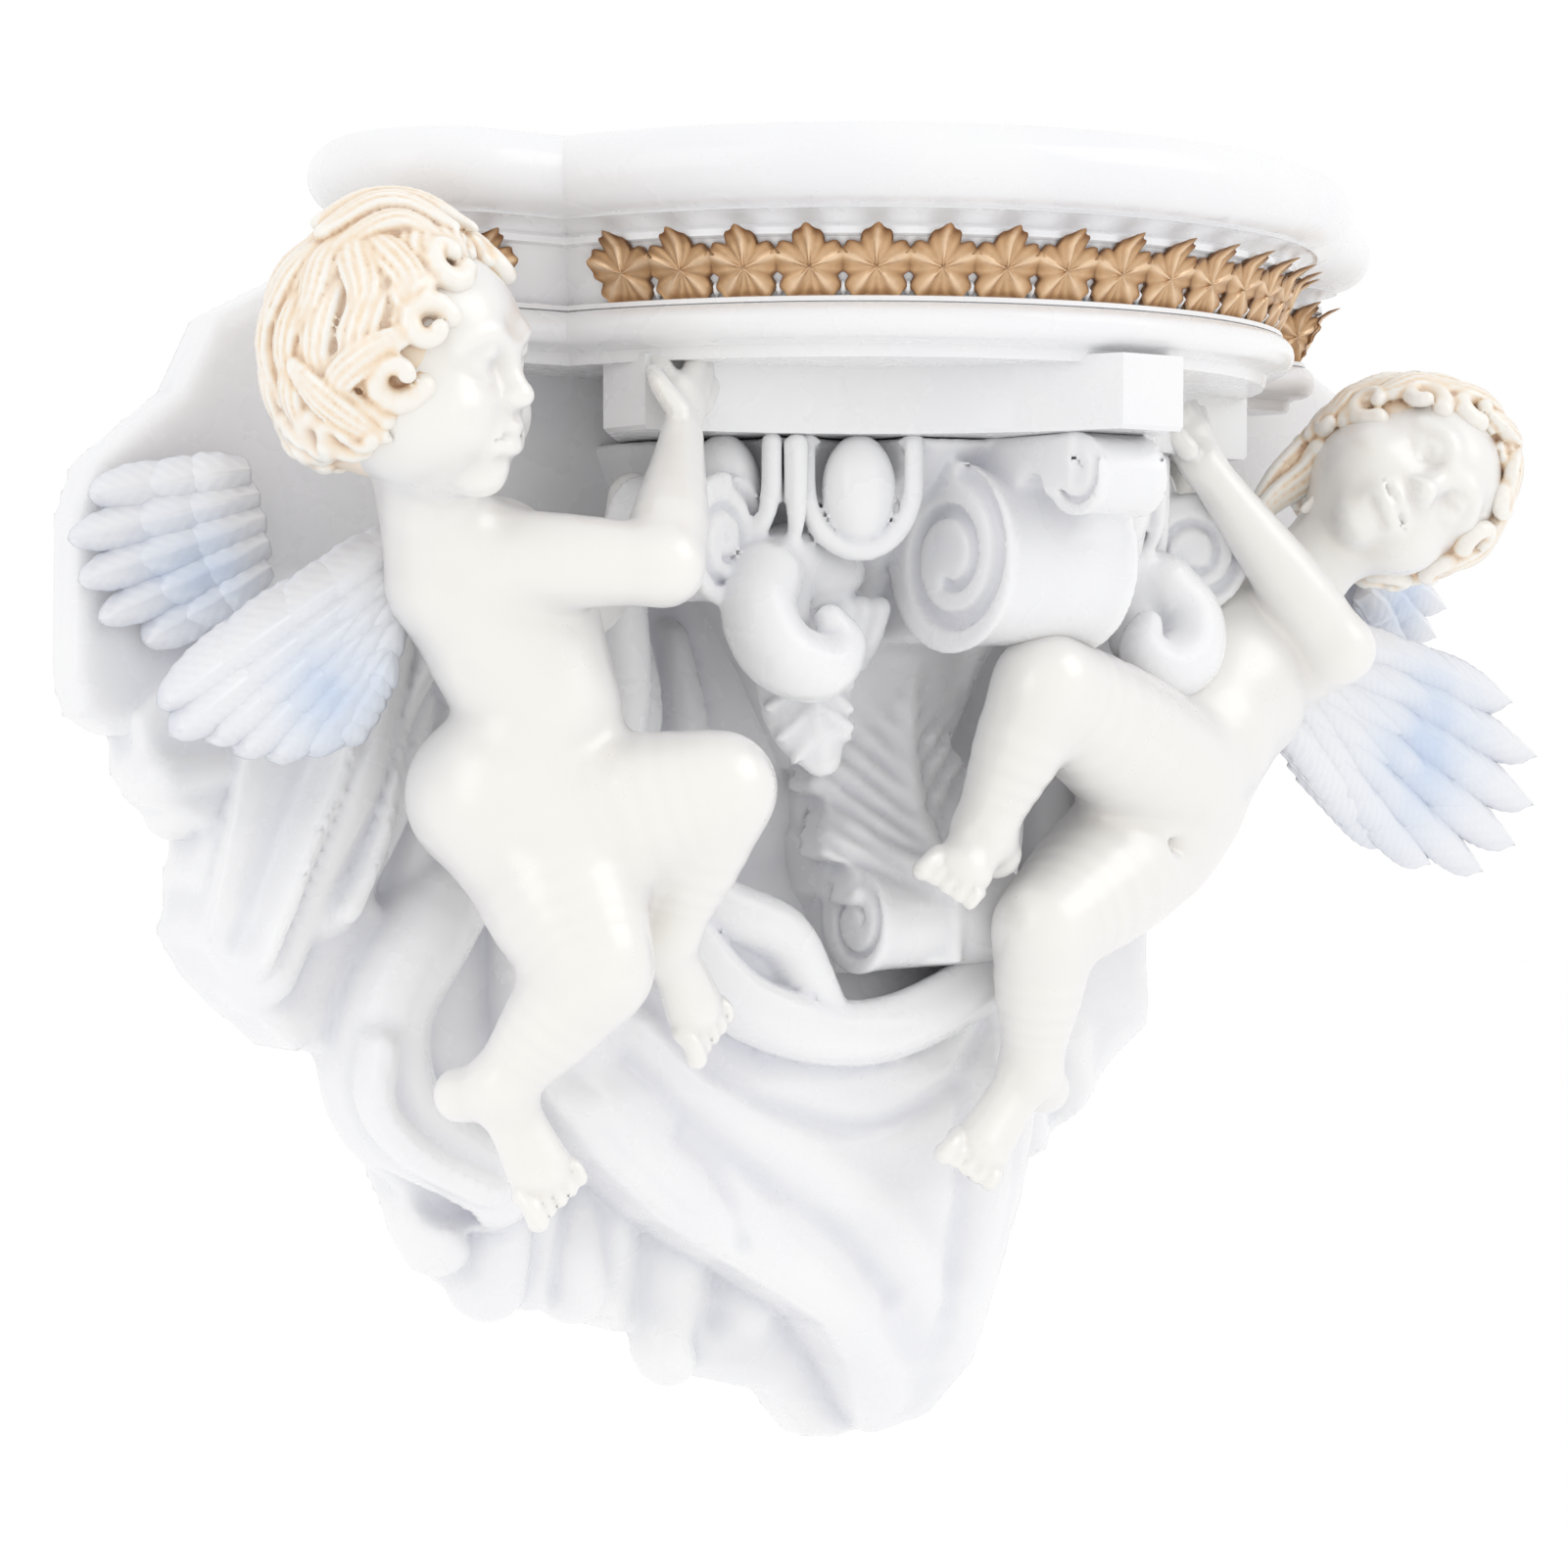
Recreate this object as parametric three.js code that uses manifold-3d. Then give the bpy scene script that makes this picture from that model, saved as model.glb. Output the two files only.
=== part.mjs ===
// Wall shelf held up by two winged children over a carved corner capital with hanging drapery.
// Frame: wall plane Y = 0, front toward -Y, X to the right, Z up, millimetres.
// The origin is a point of the flat back face that lies on the wall.
import * as THREE from 'three';
import Module from 'manifold-3d';

const wasm = await Module();
wasm.setup();

// Seat clearance between the glued castings, distance of the figures from the wall, and the reach
// of the blocks that cut off what lies behind it.
const seatGap = 0.3;
const figureClearance = 4;
const farAway = 600;

// Shelf board: front bulge, a rounded ear at each side, and the moulded edge.
const shelfTopZ = 147;
const shelfBottomZ = 87.3;
const bulgeRadius = 148;
const bulgeCentreY = -19;
const earRadius = 38;
const earCentreX = 150;
const earCentreY = -34;
const bulgeSteps = 14;
const earSteps = 4;
const rimInset = 12;
const rimDepth = 21.5;
const bandTopZ = 118;
const bandBottomZ = 103.5;
const bandTopInset = 17;
const bandBottomInset = 24;
const torusInset = 17;
const filletInset = 26;

// Leaves standing round the band under the rim.
const bulgeLeafCount = 18;
const bulgeLeafSpan = 0.762;
const earLeafCount = 2;
const leafHalfWidth = 7.4;
const leafHalfHeight = 8.2;
const leafEdgeLift = 1.4;
const leafRibLift = 3.4;

// Square block with hollowed sides and cut-off corners, set corner to the front.
const abacusBottomZ = 69;
const abacusFrontReach = 151;
const abacusSideReach = 112;
const abacusCentreY = -62;
const abacusFrontHalfCut = 11;
const abacusSideHalfCut = 10;
const abacusHollow = 20;
const abacusHollowSteps = 5;
const abacusBackHalf = 70;
const abacusLipInset = 2;

// Bell of the capital: height, half width and reach from the wall.
const bellLevels = [
  [68.7, 92, 104],
  [58, 88, 94],
  [44, 74, 76],
  [26, 56, 62],
  [4, 42, 50],
  [-24, 34, 42],
];
const bellCentreReach = 20;
const bellSteps = 8;
const eggHeight = 31;
const eggWidth = 21;
const eggDepth = 20;
const eggPlaces = [
  [-49, -85, 54],
  [-80, -63, 54],
  [49, -85, 54],
  [80, -63, 54],
];

// Scrolls: radius at the face, at the waist, and half the length of the roll.
const frontScroll = { centre: [0, -93, 36], face: 28, waist: 24, half: 24 };
const hornScroll = { centre: [0, -133, 57.5], face: 12, waist: 10, half: 13 };
const sideScroll = { centre: [92, -62, 40], face: 19, waist: 16, half: 15 };
const lowerScroll = { centre: [0, -55, -68], face: 15.5, waist: 14, half: 28 };
const scrollSides = 9;
const spiralSteps = 6;
const spiralTurns = 1.25;
const spiralLift = 2.4;

// Leaf curled over on each side below the eggs: from its root on the bell to the curl.
const curledLeafPath = [
  [36, -46, 46],
  [54, -64, 36],
  [62, -72, 21],
  [58, -70, 8],
];
const curledLeafRadii = [16, 19, 19, 10];

// Console block below the capital, with its long front leaf.
const consoleHalfWidth = 27;
const consoleDepth = 31;
const consoleTopZ = 12;
const consoleBottomZ = -84;
const consoleLeafPath = [
  [0, -45, 20],
  [0, -39, 0],
  [0, -37, -20],
  [0, -44, -40],
  [0, -60, -54],
];
const consoleLeafHalfWidths = [13, 20, 27, 30, 17];

// Wall plate: widest half width, and the half outline from the top middle down,
// each point as a share of that half width and its height.
const plateHalfWidth = 252;
const plateTopZ = 112;
const plateThickness = 15;
const plateEdgeRound = 5;
const plateMiddleZ = 45;
const plateHalfOutline = [
  [0, plateTopZ],
  [0.742, plateTopZ - 2],
  [0.838, plateTopZ - 14],
  [0.877, plateTopZ - 34],
  [0.933, plateTopZ - 45],
  [0.976, plateTopZ - 54],
  [0.996, plateTopZ - 68],
  [1, plateTopZ - 108],
  [0.988, plateTopZ - 120],
  [0.952, plateTopZ - 125],
  [0, plateTopZ - 132],
];

// Drapery: depth of its lowest point below the origin, and the depth for which its hems and
// folds are drawn. Left and right hem are [x, z] from the top down.
const drapeDrop = 228;
const drapeDrawnDrop = 228;
const leftHem = [
  [-236, -8],
  [-235, -24],
  [-229, -32],
  [-217, -38],
  [-220, -52],
  [-217, -64],
  [-209, -76],
  [-207, -86],
  [-184, -99],
  [-167, -100],
  [-163, -118],
  [-158, -134],
  [-150, -150],
  [-136, -168],
  [-116, -176],
  [-92, -178],
  [-70, -190],
  [-50, -201],
  [-25, -210],
  [-12, -226],
];
const rightHem = [
  [125, -8],
  [120, -40],
  [118, -65],
  [116, -87],
  [116, -108],
  [102, -118],
  [93, -127],
  [84, -136],
  [74, -145],
  [56, -150],
  [31, -156],
  [25, -180],
  [20, -205],
  [15, -220],
  [2, -228],
];
const hemDepth = 6;
const clothDepth = 13;
const hemRound = 4;
const clothLevels = [
  32, 4, -8, -24, -32, -38, -52, -64, -76, -86, -99, -108, -118, -134, -150, -156, -169, -178, -190, -203,
  -212, -226, -228,
];
const clothMound = { centre: [-20, 0, -48], tall: 104, wide: 112, deep: 36 };
// Each fold: [height of its crest over the wall, half width, points as x, z].
const folds = [
  [26, 9, [[-196, -20], [-229, -24]]],
  [20, 8, [[-190, -31], [-222, -34]]],
  [28, 8, [[-186, -12], [-203, -48], [-214, -63]]],
  [36, 11, [[-165, 4], [-180, -34], [-199, -62], [-205, -80], [-195, -90]]],
  [28, 8, [[-152, -20], [-181, -50], [-176, -80], [-179, -92]]],
  [44, 15, [[-135, -50], [-158, -72], [-159, -104], [-143, -124], [-130, -134]]],
  [28, 8, [[-146, -120], [-154, -136], [-137, -148]]],
  [28, 9, [[-128, -133], [-137, -166]]],
  [29, 11, [[-97, -140], [-92, -176]]],
  [28, 9, [[-54, -170], [-68, -188]]],
  [28, 8, [[-20, -188], [-22, -211]]],
  [46, 12, [[-126, -98], [-95, -132], [-62, -156], [-16, -188], [-2, -212]]],
  [44, 11, [[-100, -90], [-62, -130], [-18, -158], [2, -184], [8, -207]]],
  [50, 11, [[-102, -72], [-72, -106], [-40, -120], [-5, -120], [26, -100]]],
  [50, 10, [[-82, -54], [-52, -76], [-33, -98]]],
  [36, 9, [[30, -104], [22, -150], [13, -204]]],
  [38, 12, [[60, -60], [80, -96], [88, -114]]],
  [34, 10, [[50, -96], [66, -142]]],
  [36, 14, [[-98, 34], [-108, 0], [-116, -30]]],
];
const foldRoot = 4;

// Rope of cloth slung under the lower scroll.
const swagPath = [
  [-104, -42, -34],
  [-84, -48, -68],
  [-64, -54, -91],
  [-26, -56, -100],
  [10, -55, -92],
  [40, -52, -76],
  [56, -46, -48],
  [62, -36, -20],
];
const swagRadii = [9, 10, 10, 10, 10, 10, 10, 8];
const swagSides = 6;

// Children: joints in the wall frame, radii of the limbs.
const leftChild = {
  head: { centre: [-197, -88, 80], up: [-0.08, -0.05, 1], face: [0.55, -0.84, -0.1] },
  neck: [-188, -82, 55],
  spine: [[-172, -71, 38], [-160, -72, 20], [-151, -75, -6], [-155, -73, -30], [-157, -71, -46]],
  spineRadii: [[21, 15], [26, 20], [24, 20], [27, 23], [20, 17]],
  limbs: [
    [[-168, -80, 33], [-149, -98, 31], [-132, -109, 31]],
    [[-132, -109, 31], [-121, -98, 49], [-110, -86, 66]],
    [[-110, -86, 66], [-103, -79, 78], [-99, -73, 87]],
    [[-146, -58, 30], [-128, -52, 24], [-112, -50, 26]],
    [[-112, -50, 26], [-103, -50, 40], [-98, -52, 54]],
    [[-150, -79, -44], [-147, -91, -60], [-146, -98, -75]],
    [[-146, -98, -75], [-156, -88, -89], [-163, -79, -106]],
    [[-168, -71, -105], [-158, -80, -119], [-150, -85, -135]],
    [[-140, -82, -36], [-126, -97, -31], [-113, -106, -29]],
    [[-113, -106, -29], [-114, -99, -46], [-118, -90, -66]],
    [[-121, -86, -67], [-111, -87, -79], [-102, -87, -93]],
  ],
  wings: [
    {
      arm: [[-178, -48, 42], [-188, -50, 2]],
      tips: [
        [-plateHalfWidth - 5, -60, -3],
        [11 - plateHalfWidth, -60, -14],
        [35 - plateHalfWidth, -57, -18],
        [57 - plateHalfWidth, -54, -13],
      ],
    },
    {
      arm: [[38 - plateHalfWidth, -24, 58], [46 - plateHalfWidth, -24, 26]],
      tips: [
        [8 - plateHalfWidth, -18, 56],
        [-plateHalfWidth - 3, -18, 36],
        [4 - plateHalfWidth, -18, 18],
        [24 - plateHalfWidth, -18, 8],
      ],
    },
  ],
  wingBed: [[-166, -52, 14], [-182, -40, 24], [50 - plateHalfWidth, -28, 36]],
};
const rightChild = {
  head: { centre: [167, -82, 63], up: [0.84, -0.28, 0.44], face: [-0.4, -0.87, -0.06] },
  neck: [146, -76, 46],
  spine: [[130, -69, 25], [116, -70, 9], [98, -74, -7], [85, -73, -24], [78, -70, -40]],
  spineRadii: [[20, 15], [26, 20], [25, 21], [27, 23], [21, 18]],
  limbs: [
    [[134, -74, 12], [132, -85, 11], [130, -94, 11]],
    [[130, -94, 11], [107, -88, 38], [84, -82, 66]],
    [[84, -82, 66], [81, -77, 77], [80, -71, 88]],
    [[114, -54, 26], [107, -50, 36], [104, -48, 44]],
    [[104, -48, 44], [104, -48, 56], [106, -50, 67]],
    [[72, -80, -24], [38, -91, -8], [9, -98, 0]],
    [[9, -98, 0], [3, -91, -20], [-2, -83, -41]],
    [[4, -80, -44], [-7, -84, -50], [-17, -86, -56]],
    [[72, -70, -46], [45, -78, -59], [20, -84, -71]],
    [[20, -84, -71], [19, -79, -92], [24, -73, -111]],
    [[34, -67, -118], [15, -72, -128], [-3, -76, -139]],
  ],
  wings: [
    {
      arm: [[152, -50, 22], [138, -52, -18]],
      tips: [
        [plateHalfWidth - 6, -47, 2],
        [plateHalfWidth + 10, -48, -28],
        [plateHalfWidth + 5, -47, -55],
        [plateHalfWidth - 30, -44, -60],
        [plateHalfWidth - 58, -42, -48],
      ],
    },
    {
      arm: [[plateHalfWidth - 38, -24, 58], [plateHalfWidth - 46, -24, 26]],
      tips: [
        [plateHalfWidth - 8, -18, 56],
        [plateHalfWidth, -18, 36],
        [plateHalfWidth - 5, -18, 18],
        [plateHalfWidth - 24, -18, 8],
      ],
    },
  ],
  wingBed: [[128, -54, 6], [156, -44, 14], [plateHalfWidth - 48, -28, 36]],
};
const limbRadii = [
  [13, 12.5, 11],
  [11, 10, 7],
  [6.5, 7.5, 4.5],
  [11, 9, 8],
  [8, 7, 5],
  [23, 21.5, 16.5],
  [15, 14.5, 9.5],
  [8.5, 9.5, 6.5],
  [22, 20.5, 16],
  [14.5, 14, 9.5],
  [8, 9, 6],
];
const wingBedRadii = [11, 10, 8];
const limbFlats = [1, 1, 0.6, 1, 0.8, 1, 1, 0.8, 1, 1, 0.8];
const limbSides = 5;
const limbTipReach = 0.75;
const torsoSides = 9;
const skullRadius = 31.5;
const skullTallness = 1.14;
const headRows = 6;
const headColumns = 11;
const hairThickness = 0.15;
const faceSlimness = 0.95;
const noseReach = 1.18;
const featherCount = 4;
const featherHalfWidth = 12.5;
const featherThickness = 3.6;

const white = '#f3f1ec';
const pearl = '#ece4d6';

function vector(point) {
  return new THREE.Vector3(point[0], point[1], point[2]);
}

// Closed body from points and triangles, turned so that it faces outward.
function body(points, faces) {
  let volume = 0;
  for (const [a, b, c] of faces) {
    const cross = vector(points[b]).cross(vector(points[c]));
    volume += vector(points[a]).dot(cross);
  }
  const turned = volume < 0 ? faces.map(([a, b, c]) => [a, c, b]) : faces;
  const mesh = new wasm.Mesh({
    numProp: 3,
    vertProperties: new Float32Array(points.flat()),
    triVerts: new Uint32Array(turned.flat()),
  });
  return new wasm.Manifold(mesh);
}

function join(bodies) {
  let whole = bodies[0];
  for (const next of bodies.slice(1)) {
    whole = whole.add(next);
  }
  return whole;
}

// Skin over a row of rings with equal point counts; a one-point ring is a tip.
function loft(rings) {
  const points = [];
  const starts = [];
  for (const ring of rings) {
    starts.push(points.length);
    points.push(...ring);
  }
  const faces = [];
  for (let i = 0; i + 1 < rings.length; i += 1) {
    const near = rings[i].length;
    const far = rings[i + 1].length;
    const count = Math.max(near, far);
    for (let k = 0; k < count; k += 1) {
      const next = (k + 1) % count;
      const a = starts[i] + (near === 1 ? 0 : k);
      const b = starts[i] + (near === 1 ? 0 : next);
      const c = starts[i + 1] + (far === 1 ? 0 : k);
      const d = starts[i + 1] + (far === 1 ? 0 : next);
      if (near > 1) {
        faces.push([a, b, c]);
      }
      if (far > 1) {
        faces.push([b, d, c]);
      }
    }
  }
  return body(points, faces);
}

function centreOf(ring) {
  const sum = ring.reduce((total, p) => [total[0] + p[0], total[1] + p[1], total[2] + p[2]], [0, 0, 0]);
  return sum.map((value) => value / ring.length);
}

// Skin over rings with both end faces closed flat from their centres.
function cappedLoft(rings) {
  const first = centreOf(rings[0]);
  const last = centreOf(rings[rings.length - 1]);
  return loft([[first], ...rings, [last]]);
}

function smoothPath(path, steps) {
  const curve = new THREE.CatmullRomCurve3(path.map(vector), false, 'centripetal');
  return curve.getPoints(steps).map((p) => [p.x, p.y, p.z]);
}

// Rounded limb along a path; flat is the ratio of its front-to-back radius to its width.
function limb(path, radii, sides, grow, flat = 1) {
  const centres = path.map(vector);
  const last = centres.length - 1;
  const rings = [];
  for (let i = 0; i <= last; i += 1) {
    const along = centres[Math.min(i + 1, last)].clone().sub(centres[Math.max(i - 1, 0)]).normalize();
    const forward = new THREE.Vector3(0.25, -1, 0.1);
    const across = new THREE.Vector3().crossVectors(along, forward).normalize();
    const depth = new THREE.Vector3().crossVectors(across, along).normalize();
    const radius = radii[i] + grow;
    const ring = [];
    for (let k = 0; k < sides; k += 1) {
      const angle = Math.PI / 2 + (2 * Math.PI * k) / sides;
      const point = centres[i].clone();
      point.addScaledVector(across, Math.cos(angle) * radius);
      point.addScaledVector(depth, Math.sin(angle) * radius * flat);
      ring.push([point.x, point.y, point.z]);
    }
    const tip = (shift) => {
      const point = centres[i].clone().addScaledVector(along, shift * radius);
      return [[point.x, point.y, point.z]];
    };
    if (i === 0) {
      rings.push(tip(-limbTipReach));
    }
    rings.push(ring);
    if (i === last) {
      rings.push(tip(limbTipReach));
    }
  }
  return loft(rings);
}

// Ellipsoid with its long axis along a direction.
function egg(centre, direction, length, width, depth, sides, grow) {
  const along = vector(direction).normalize();
  const forward = new THREE.Vector3(0.3, -1, 0.05);
  const across = new THREE.Vector3().crossVectors(along, forward).normalize();
  const front = new THREE.Vector3().crossVectors(across, along).normalize();
  const rings = [];
  const rows = 5;
  for (let i = 0; i <= rows; i += 1) {
    const polar = (Math.PI * i) / rows;
    const middle = vector(centre).addScaledVector(along, -Math.cos(polar) * (length + grow));
    if (i === 0 || i === rows) {
      rings.push([[middle.x, middle.y, middle.z]]);
      continue;
    }
    const ring = [];
    for (let k = 0; k < sides; k += 1) {
      const angle = (2 * Math.PI * k) / sides;
      const point = middle.clone();
      point.addScaledVector(across, Math.sin(polar) * Math.cos(angle) * (width + grow));
      point.addScaledVector(front, Math.sin(polar) * Math.sin(angle) * (depth + grow));
      ring.push([point.x, point.y, point.z]);
    }
    rings.push(ring);
  }
  return loft(rings);
}

// Plan of the shelf at a given inset, from the left wall corner round to the right one.
function shelfPlan(inset) {
  const ear = earRadius - inset;
  const bulge = bulgeRadius - inset;
  const cuspY = earCentreY - ear;
  const cuspX = -Math.sqrt(bulge * bulge - (cuspY - bulgeCentreY) ** 2);
  const half = [[-earCentreX - Math.sqrt(Math.max(0, ear * ear - earCentreY * earCentreY)), 0]];
  for (let i = 0; i <= earSteps; i += 1) {
    const angle = -Math.PI * 1.15 + (Math.PI * 0.65 * i) / earSteps;
    half.push([-earCentreX + ear * Math.cos(angle), earCentreY + ear * Math.sin(angle)]);
  }
  const startAngle = Math.atan2(cuspY - bulgeCentreY, cuspX);
  for (let i = 0; i <= bulgeSteps / 2; i += 1) {
    const angle = startAngle + ((-Math.PI / 2 - startAngle) * i) / (bulgeSteps / 2);
    half.push([bulge * Math.cos(angle), bulgeCentreY + bulge * Math.sin(angle)]);
  }
  const mirrored = half.slice(0, -1).reverse().map(([x, y]) => [-x, y]);
  return [...half, ...mirrored];
}

const shelfProfile = [
  [rimInset, shelfTopZ],
  [rimInset * 0.45, shelfTopZ - rimDepth * 0.08],
  [rimInset * 0.08, shelfTopZ - rimDepth * 0.34],
  [rimInset * 0.08, shelfTopZ - rimDepth * 0.62],
  [rimInset * 0.45, shelfTopZ - rimDepth * 0.92],
  [rimInset * 0.85, shelfTopZ - rimDepth],
  [bandTopInset - 3.5, bandTopZ + 2],
  [bandTopInset, bandTopZ],
  [bandBottomInset, bandBottomZ],
  [torusInset + 1.5, bandBottomZ - 2],
  [torusInset, bandBottomZ - 7],
  [filletInset - 2.5, bandBottomZ - 12.6],
  [filletInset, shelfBottomZ],
];

// Pointed leaf standing on the sloping band; place and facing come from the plan.
function bandLeaf(foot, outward) {
  const slope = (bandBottomInset - bandTopInset) / (bandTopZ - bandBottomZ);
  const side = [-outward[1], outward[0]];
  const outline = [
    [0.7, -0.9],
    [0.95, 0.34],
    [0, 1],
    [-0.95, 0.34],
    [-0.7, -0.9],
  ];
  const at = (across, up, lift) => {
    const reach = lift + up * slope;
    return [
      foot[0] + side[0] * across + outward[0] * reach,
      foot[1] + side[1] * across + outward[1] * reach,
      (bandTopZ + bandBottomZ) / 2 + up,
    ];
  };
  const ring = (lift) => outline.map(([s, t]) => at(s * leafHalfWidth, t * leafHalfHeight, lift));
  return loft([[at(0, 0, -2.5)], ring(-2.5), ring(leafEdgeLift), [at(0, 0.5, leafRibLift)]]);
}

function bandLeaves() {
  const inset = (bandTopInset + bandBottomInset) / 2;
  const radius = bulgeRadius - inset;
  const leaves = [];
  for (let i = 0; i < bulgeLeafCount; i += 1) {
    const share = (i + 0.5) / bulgeLeafCount - 0.5;
    const angle = -Math.PI / 2 + share * Math.PI * bulgeLeafSpan;
    const outward = [Math.cos(angle), Math.sin(angle)];
    leaves.push(bandLeaf([radius * outward[0], bulgeCentreY + radius * outward[1]], outward));
  }
  const ear = earRadius - inset;
  for (const side of [-1, 1]) {
    for (let i = 0; i < earLeafCount; i += 1) {
      const angle = -Math.PI / 2 - 0.2 - i * 0.62;
      const outward = [-side * Math.cos(angle), Math.sin(angle)];
      leaves.push(bandLeaf([side * earCentreX + ear * outward[0], earCentreY + ear * outward[1]], outward));
    }
  }
  return leaves;
}

// Plan of the hollow-sided block, grown outward a little when it serves as a cutter.
function abacusPlan(grow) {
  const frontY = -abacusFrontReach;
  const sideY = abacusCentreY;
  const from = [-abacusSideReach, sideY - abacusSideHalfCut];
  const to = [-abacusFrontHalfCut, frontY];
  const across = [to[1] - from[1], from[0] - to[0]];
  const length = Math.hypot(across[0], across[1]);
  const half = [
    [-abacusBackHalf, 0],
    [-abacusSideReach, sideY + abacusSideHalfCut],
    from,
  ];
  for (let i = 1; i < abacusHollowSteps; i += 1) {
    const share = i / abacusHollowSteps;
    const dip = (abacusHollow * 4 * share * (1 - share)) / length;
    half.push([
      from[0] + (to[0] - from[0]) * share - across[0] * dip,
      from[1] + (to[1] - from[1]) * share - across[1] * dip,
    ]);
  }
  half.push(to);
  const plan = [...half, ...half.slice().reverse().map(([x, y]) => [-x, y])];
  return plan.map(([x, y]) => {
    const away = Math.hypot(x, y - abacusCentreY);
    const factor = 1 + grow / away;
    return [x * factor, Math.min(0, abacusCentreY + (y - abacusCentreY) * factor)];
  });
}

function shelfBody(grow) {
  const board = shelfProfile.map(([inset, z], i) => {
    let height = z;
    if (i === 0) {
      height += grow;
    }
    if (i === shelfProfile.length - 1) {
      height -= grow;
    }
    return shelfPlan(inset - grow).map(([x, y]) => [x, y, height]);
  });
  const block = [
    abacusPlan(grow).map(([x, y]) => [x, y, shelfBottomZ + 2]),
    abacusPlan(grow).map(([x, y]) => [x, y, abacusBottomZ + 3]),
    abacusPlan(grow - abacusLipInset).map(([x, y]) => [x, y, abacusBottomZ - grow]),
  ];
  return join([cappedLoft(board), cappedLoft(block)]);
}

// Roll of a scroll between two faces, waisted in the middle; along is the roll's direction.
function scroll(size, centre, along, grow) {
  const axis = vector(along).normalize();
  const up = new THREE.Vector3(0, 0, 1);
  const across = new THREE.Vector3().crossVectors(axis, up).normalize();
  const stations = [
    [-1, size.face],
    [-0.55, size.waist],
    [0.55, size.waist],
    [1, size.face],
  ];
  const rings = stations.map(([share, radius]) => {
    const ring = [];
    for (let k = 0; k < scrollSides; k += 1) {
      const angle = (2 * Math.PI * k) / scrollSides;
      const point = vector(centre).addScaledVector(axis, share * (size.half + grow));
      point.addScaledVector(across, Math.cos(angle) * (radius + grow));
      point.addScaledVector(up, Math.sin(angle) * (radius + grow));
      ring.push([point.x, point.y, point.z]);
    }
    return ring;
  });
  return cappedLoft(rings);
}

// Raised spiral ribbon lying on one face of a scroll.
function spiral(size, centre, along, side) {
  const axis = vector(along).normalize();
  const up = new THREE.Vector3(0, 0, 1);
  const across = new THREE.Vector3().crossVectors(axis, up).normalize();
  const rings = [];
  for (let i = 0; i <= spiralSteps; i += 1) {
    const share = i / spiralSteps;
    const angle = Math.PI * 0.5 + spiralTurns * 2 * Math.PI * share;
    const radius = size.face * (0.84 - 0.66 * share);
    const half = size.face * (0.13 - 0.05 * share);
    const ring = [];
    for (const [out, lift] of [[-1, -1], [1, -1], [0, 1]]) {
      const point = vector(centre).addScaledVector(axis, side * (size.half + lift * spiralLift));
      point.addScaledVector(across, Math.cos(angle) * (radius + out * half));
      point.addScaledVector(up, Math.sin(angle) * (radius + out * half));
      ring.push([point.x, point.y, point.z]);
    }
    rings.push(ring);
  }
  return cappedLoft(rings);
}

function box(low, high) {
  const ring = (z) => [
    [low[0], low[1], z],
    [high[0], low[1], z],
    [high[0], high[1], z],
    [low[0], high[1], z],
  ];
  return cappedLoft([ring(low[2]), ring(high[2])]);
}

function capital() {
  const bell = bellLevels.map(([z, halfWidth, reach]) => {
    const ring = [[-halfWidth, 0, z]];
    for (let i = 0; i <= bellSteps; i += 1) {
      const angle = Math.PI * (1 + i / bellSteps);
      const depth = bellCentreReach - Math.sin(angle) * (reach - bellCentreReach);
      ring.push([Math.cos(angle) * halfWidth, -depth, z]);
    }
    return [...ring, [halfWidth, 0, z]];
  });
  const bodies = [cappedLoft(bell)];
  for (const place of eggPlaces) {
    bodies.push(egg(place, [0, 0, 1], eggHeight / 2, eggWidth / 2, eggDepth / 2, 6, 0));
  }
  bodies.push(scroll(frontScroll, frontScroll.centre, [1, 0, 0], 0));
  bodies.push(scroll(hornScroll, hornScroll.centre, [1, 0, 0], 0));
  for (const side of [-1, 1]) {
    bodies.push(spiral(frontScroll, frontScroll.centre, [1, 0, 0], side));
    const centre = [side * sideScroll.centre[0], sideScroll.centre[1], sideScroll.centre[2]];
    bodies.push(scroll(sideScroll, centre, [0.35 * side, 1, 0], 0));
    bodies.push(spiral(sideScroll, centre, [0.35 * side, 1, 0], -1));
  }
  const bandHalf = hornScroll.half + 1;
  bodies.push(box([-bandHalf, hornScroll.centre[1], 50], [bandHalf, -70, abacusBottomZ - seatGap]));
  bodies.push(box([4 - frontScroll.half, -100, 14], [frontScroll.half - 4, -50, 40]));
  return bodies;
}

// Long leaf down the console with a raised middle rib.
function consoleLeaf() {
  const rings = consoleLeafPath.map(([x, y, z], i) => {
    const half = consoleLeafHalfWidths[i];
    return [
      [x - half, y + 12, z - 3],
      [x - half * 0.55, y - 2, z + 2],
      [x, y - 5, z],
      [x + half * 0.55, y - 2, z + 2],
      [x + half, y + 12, z - 3],
      [x, y + 18, z],
    ];
  });
  return cappedLoft(rings);
}

function consoleBodies() {
  const low = [-consoleHalfWidth, -consoleDepth, consoleBottomZ];
  const bodies = [box(low, [consoleHalfWidth, 0, consoleTopZ]), consoleLeaf()];
  bodies.push(scroll(lowerScroll, lowerScroll.centre, [1, 0, 0], 0));
  for (const side of [-1, 1]) {
    bodies.push(spiral(lowerScroll, lowerScroll.centre, [1, 0, 0], side));
    const leafPath = curledLeafPath.map(([x, y, z]) => [side * x, y, z]);
    bodies.push(limb(leafPath, curledLeafRadii, 6, 0, 0.8));
    bodies.push(limb([[side * 30, -36, 30], [side * 46, -50, 4], [side * 44, -56, -20]], [16, 15, 8], 6, 0));
  }
  return bodies;
}

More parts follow.
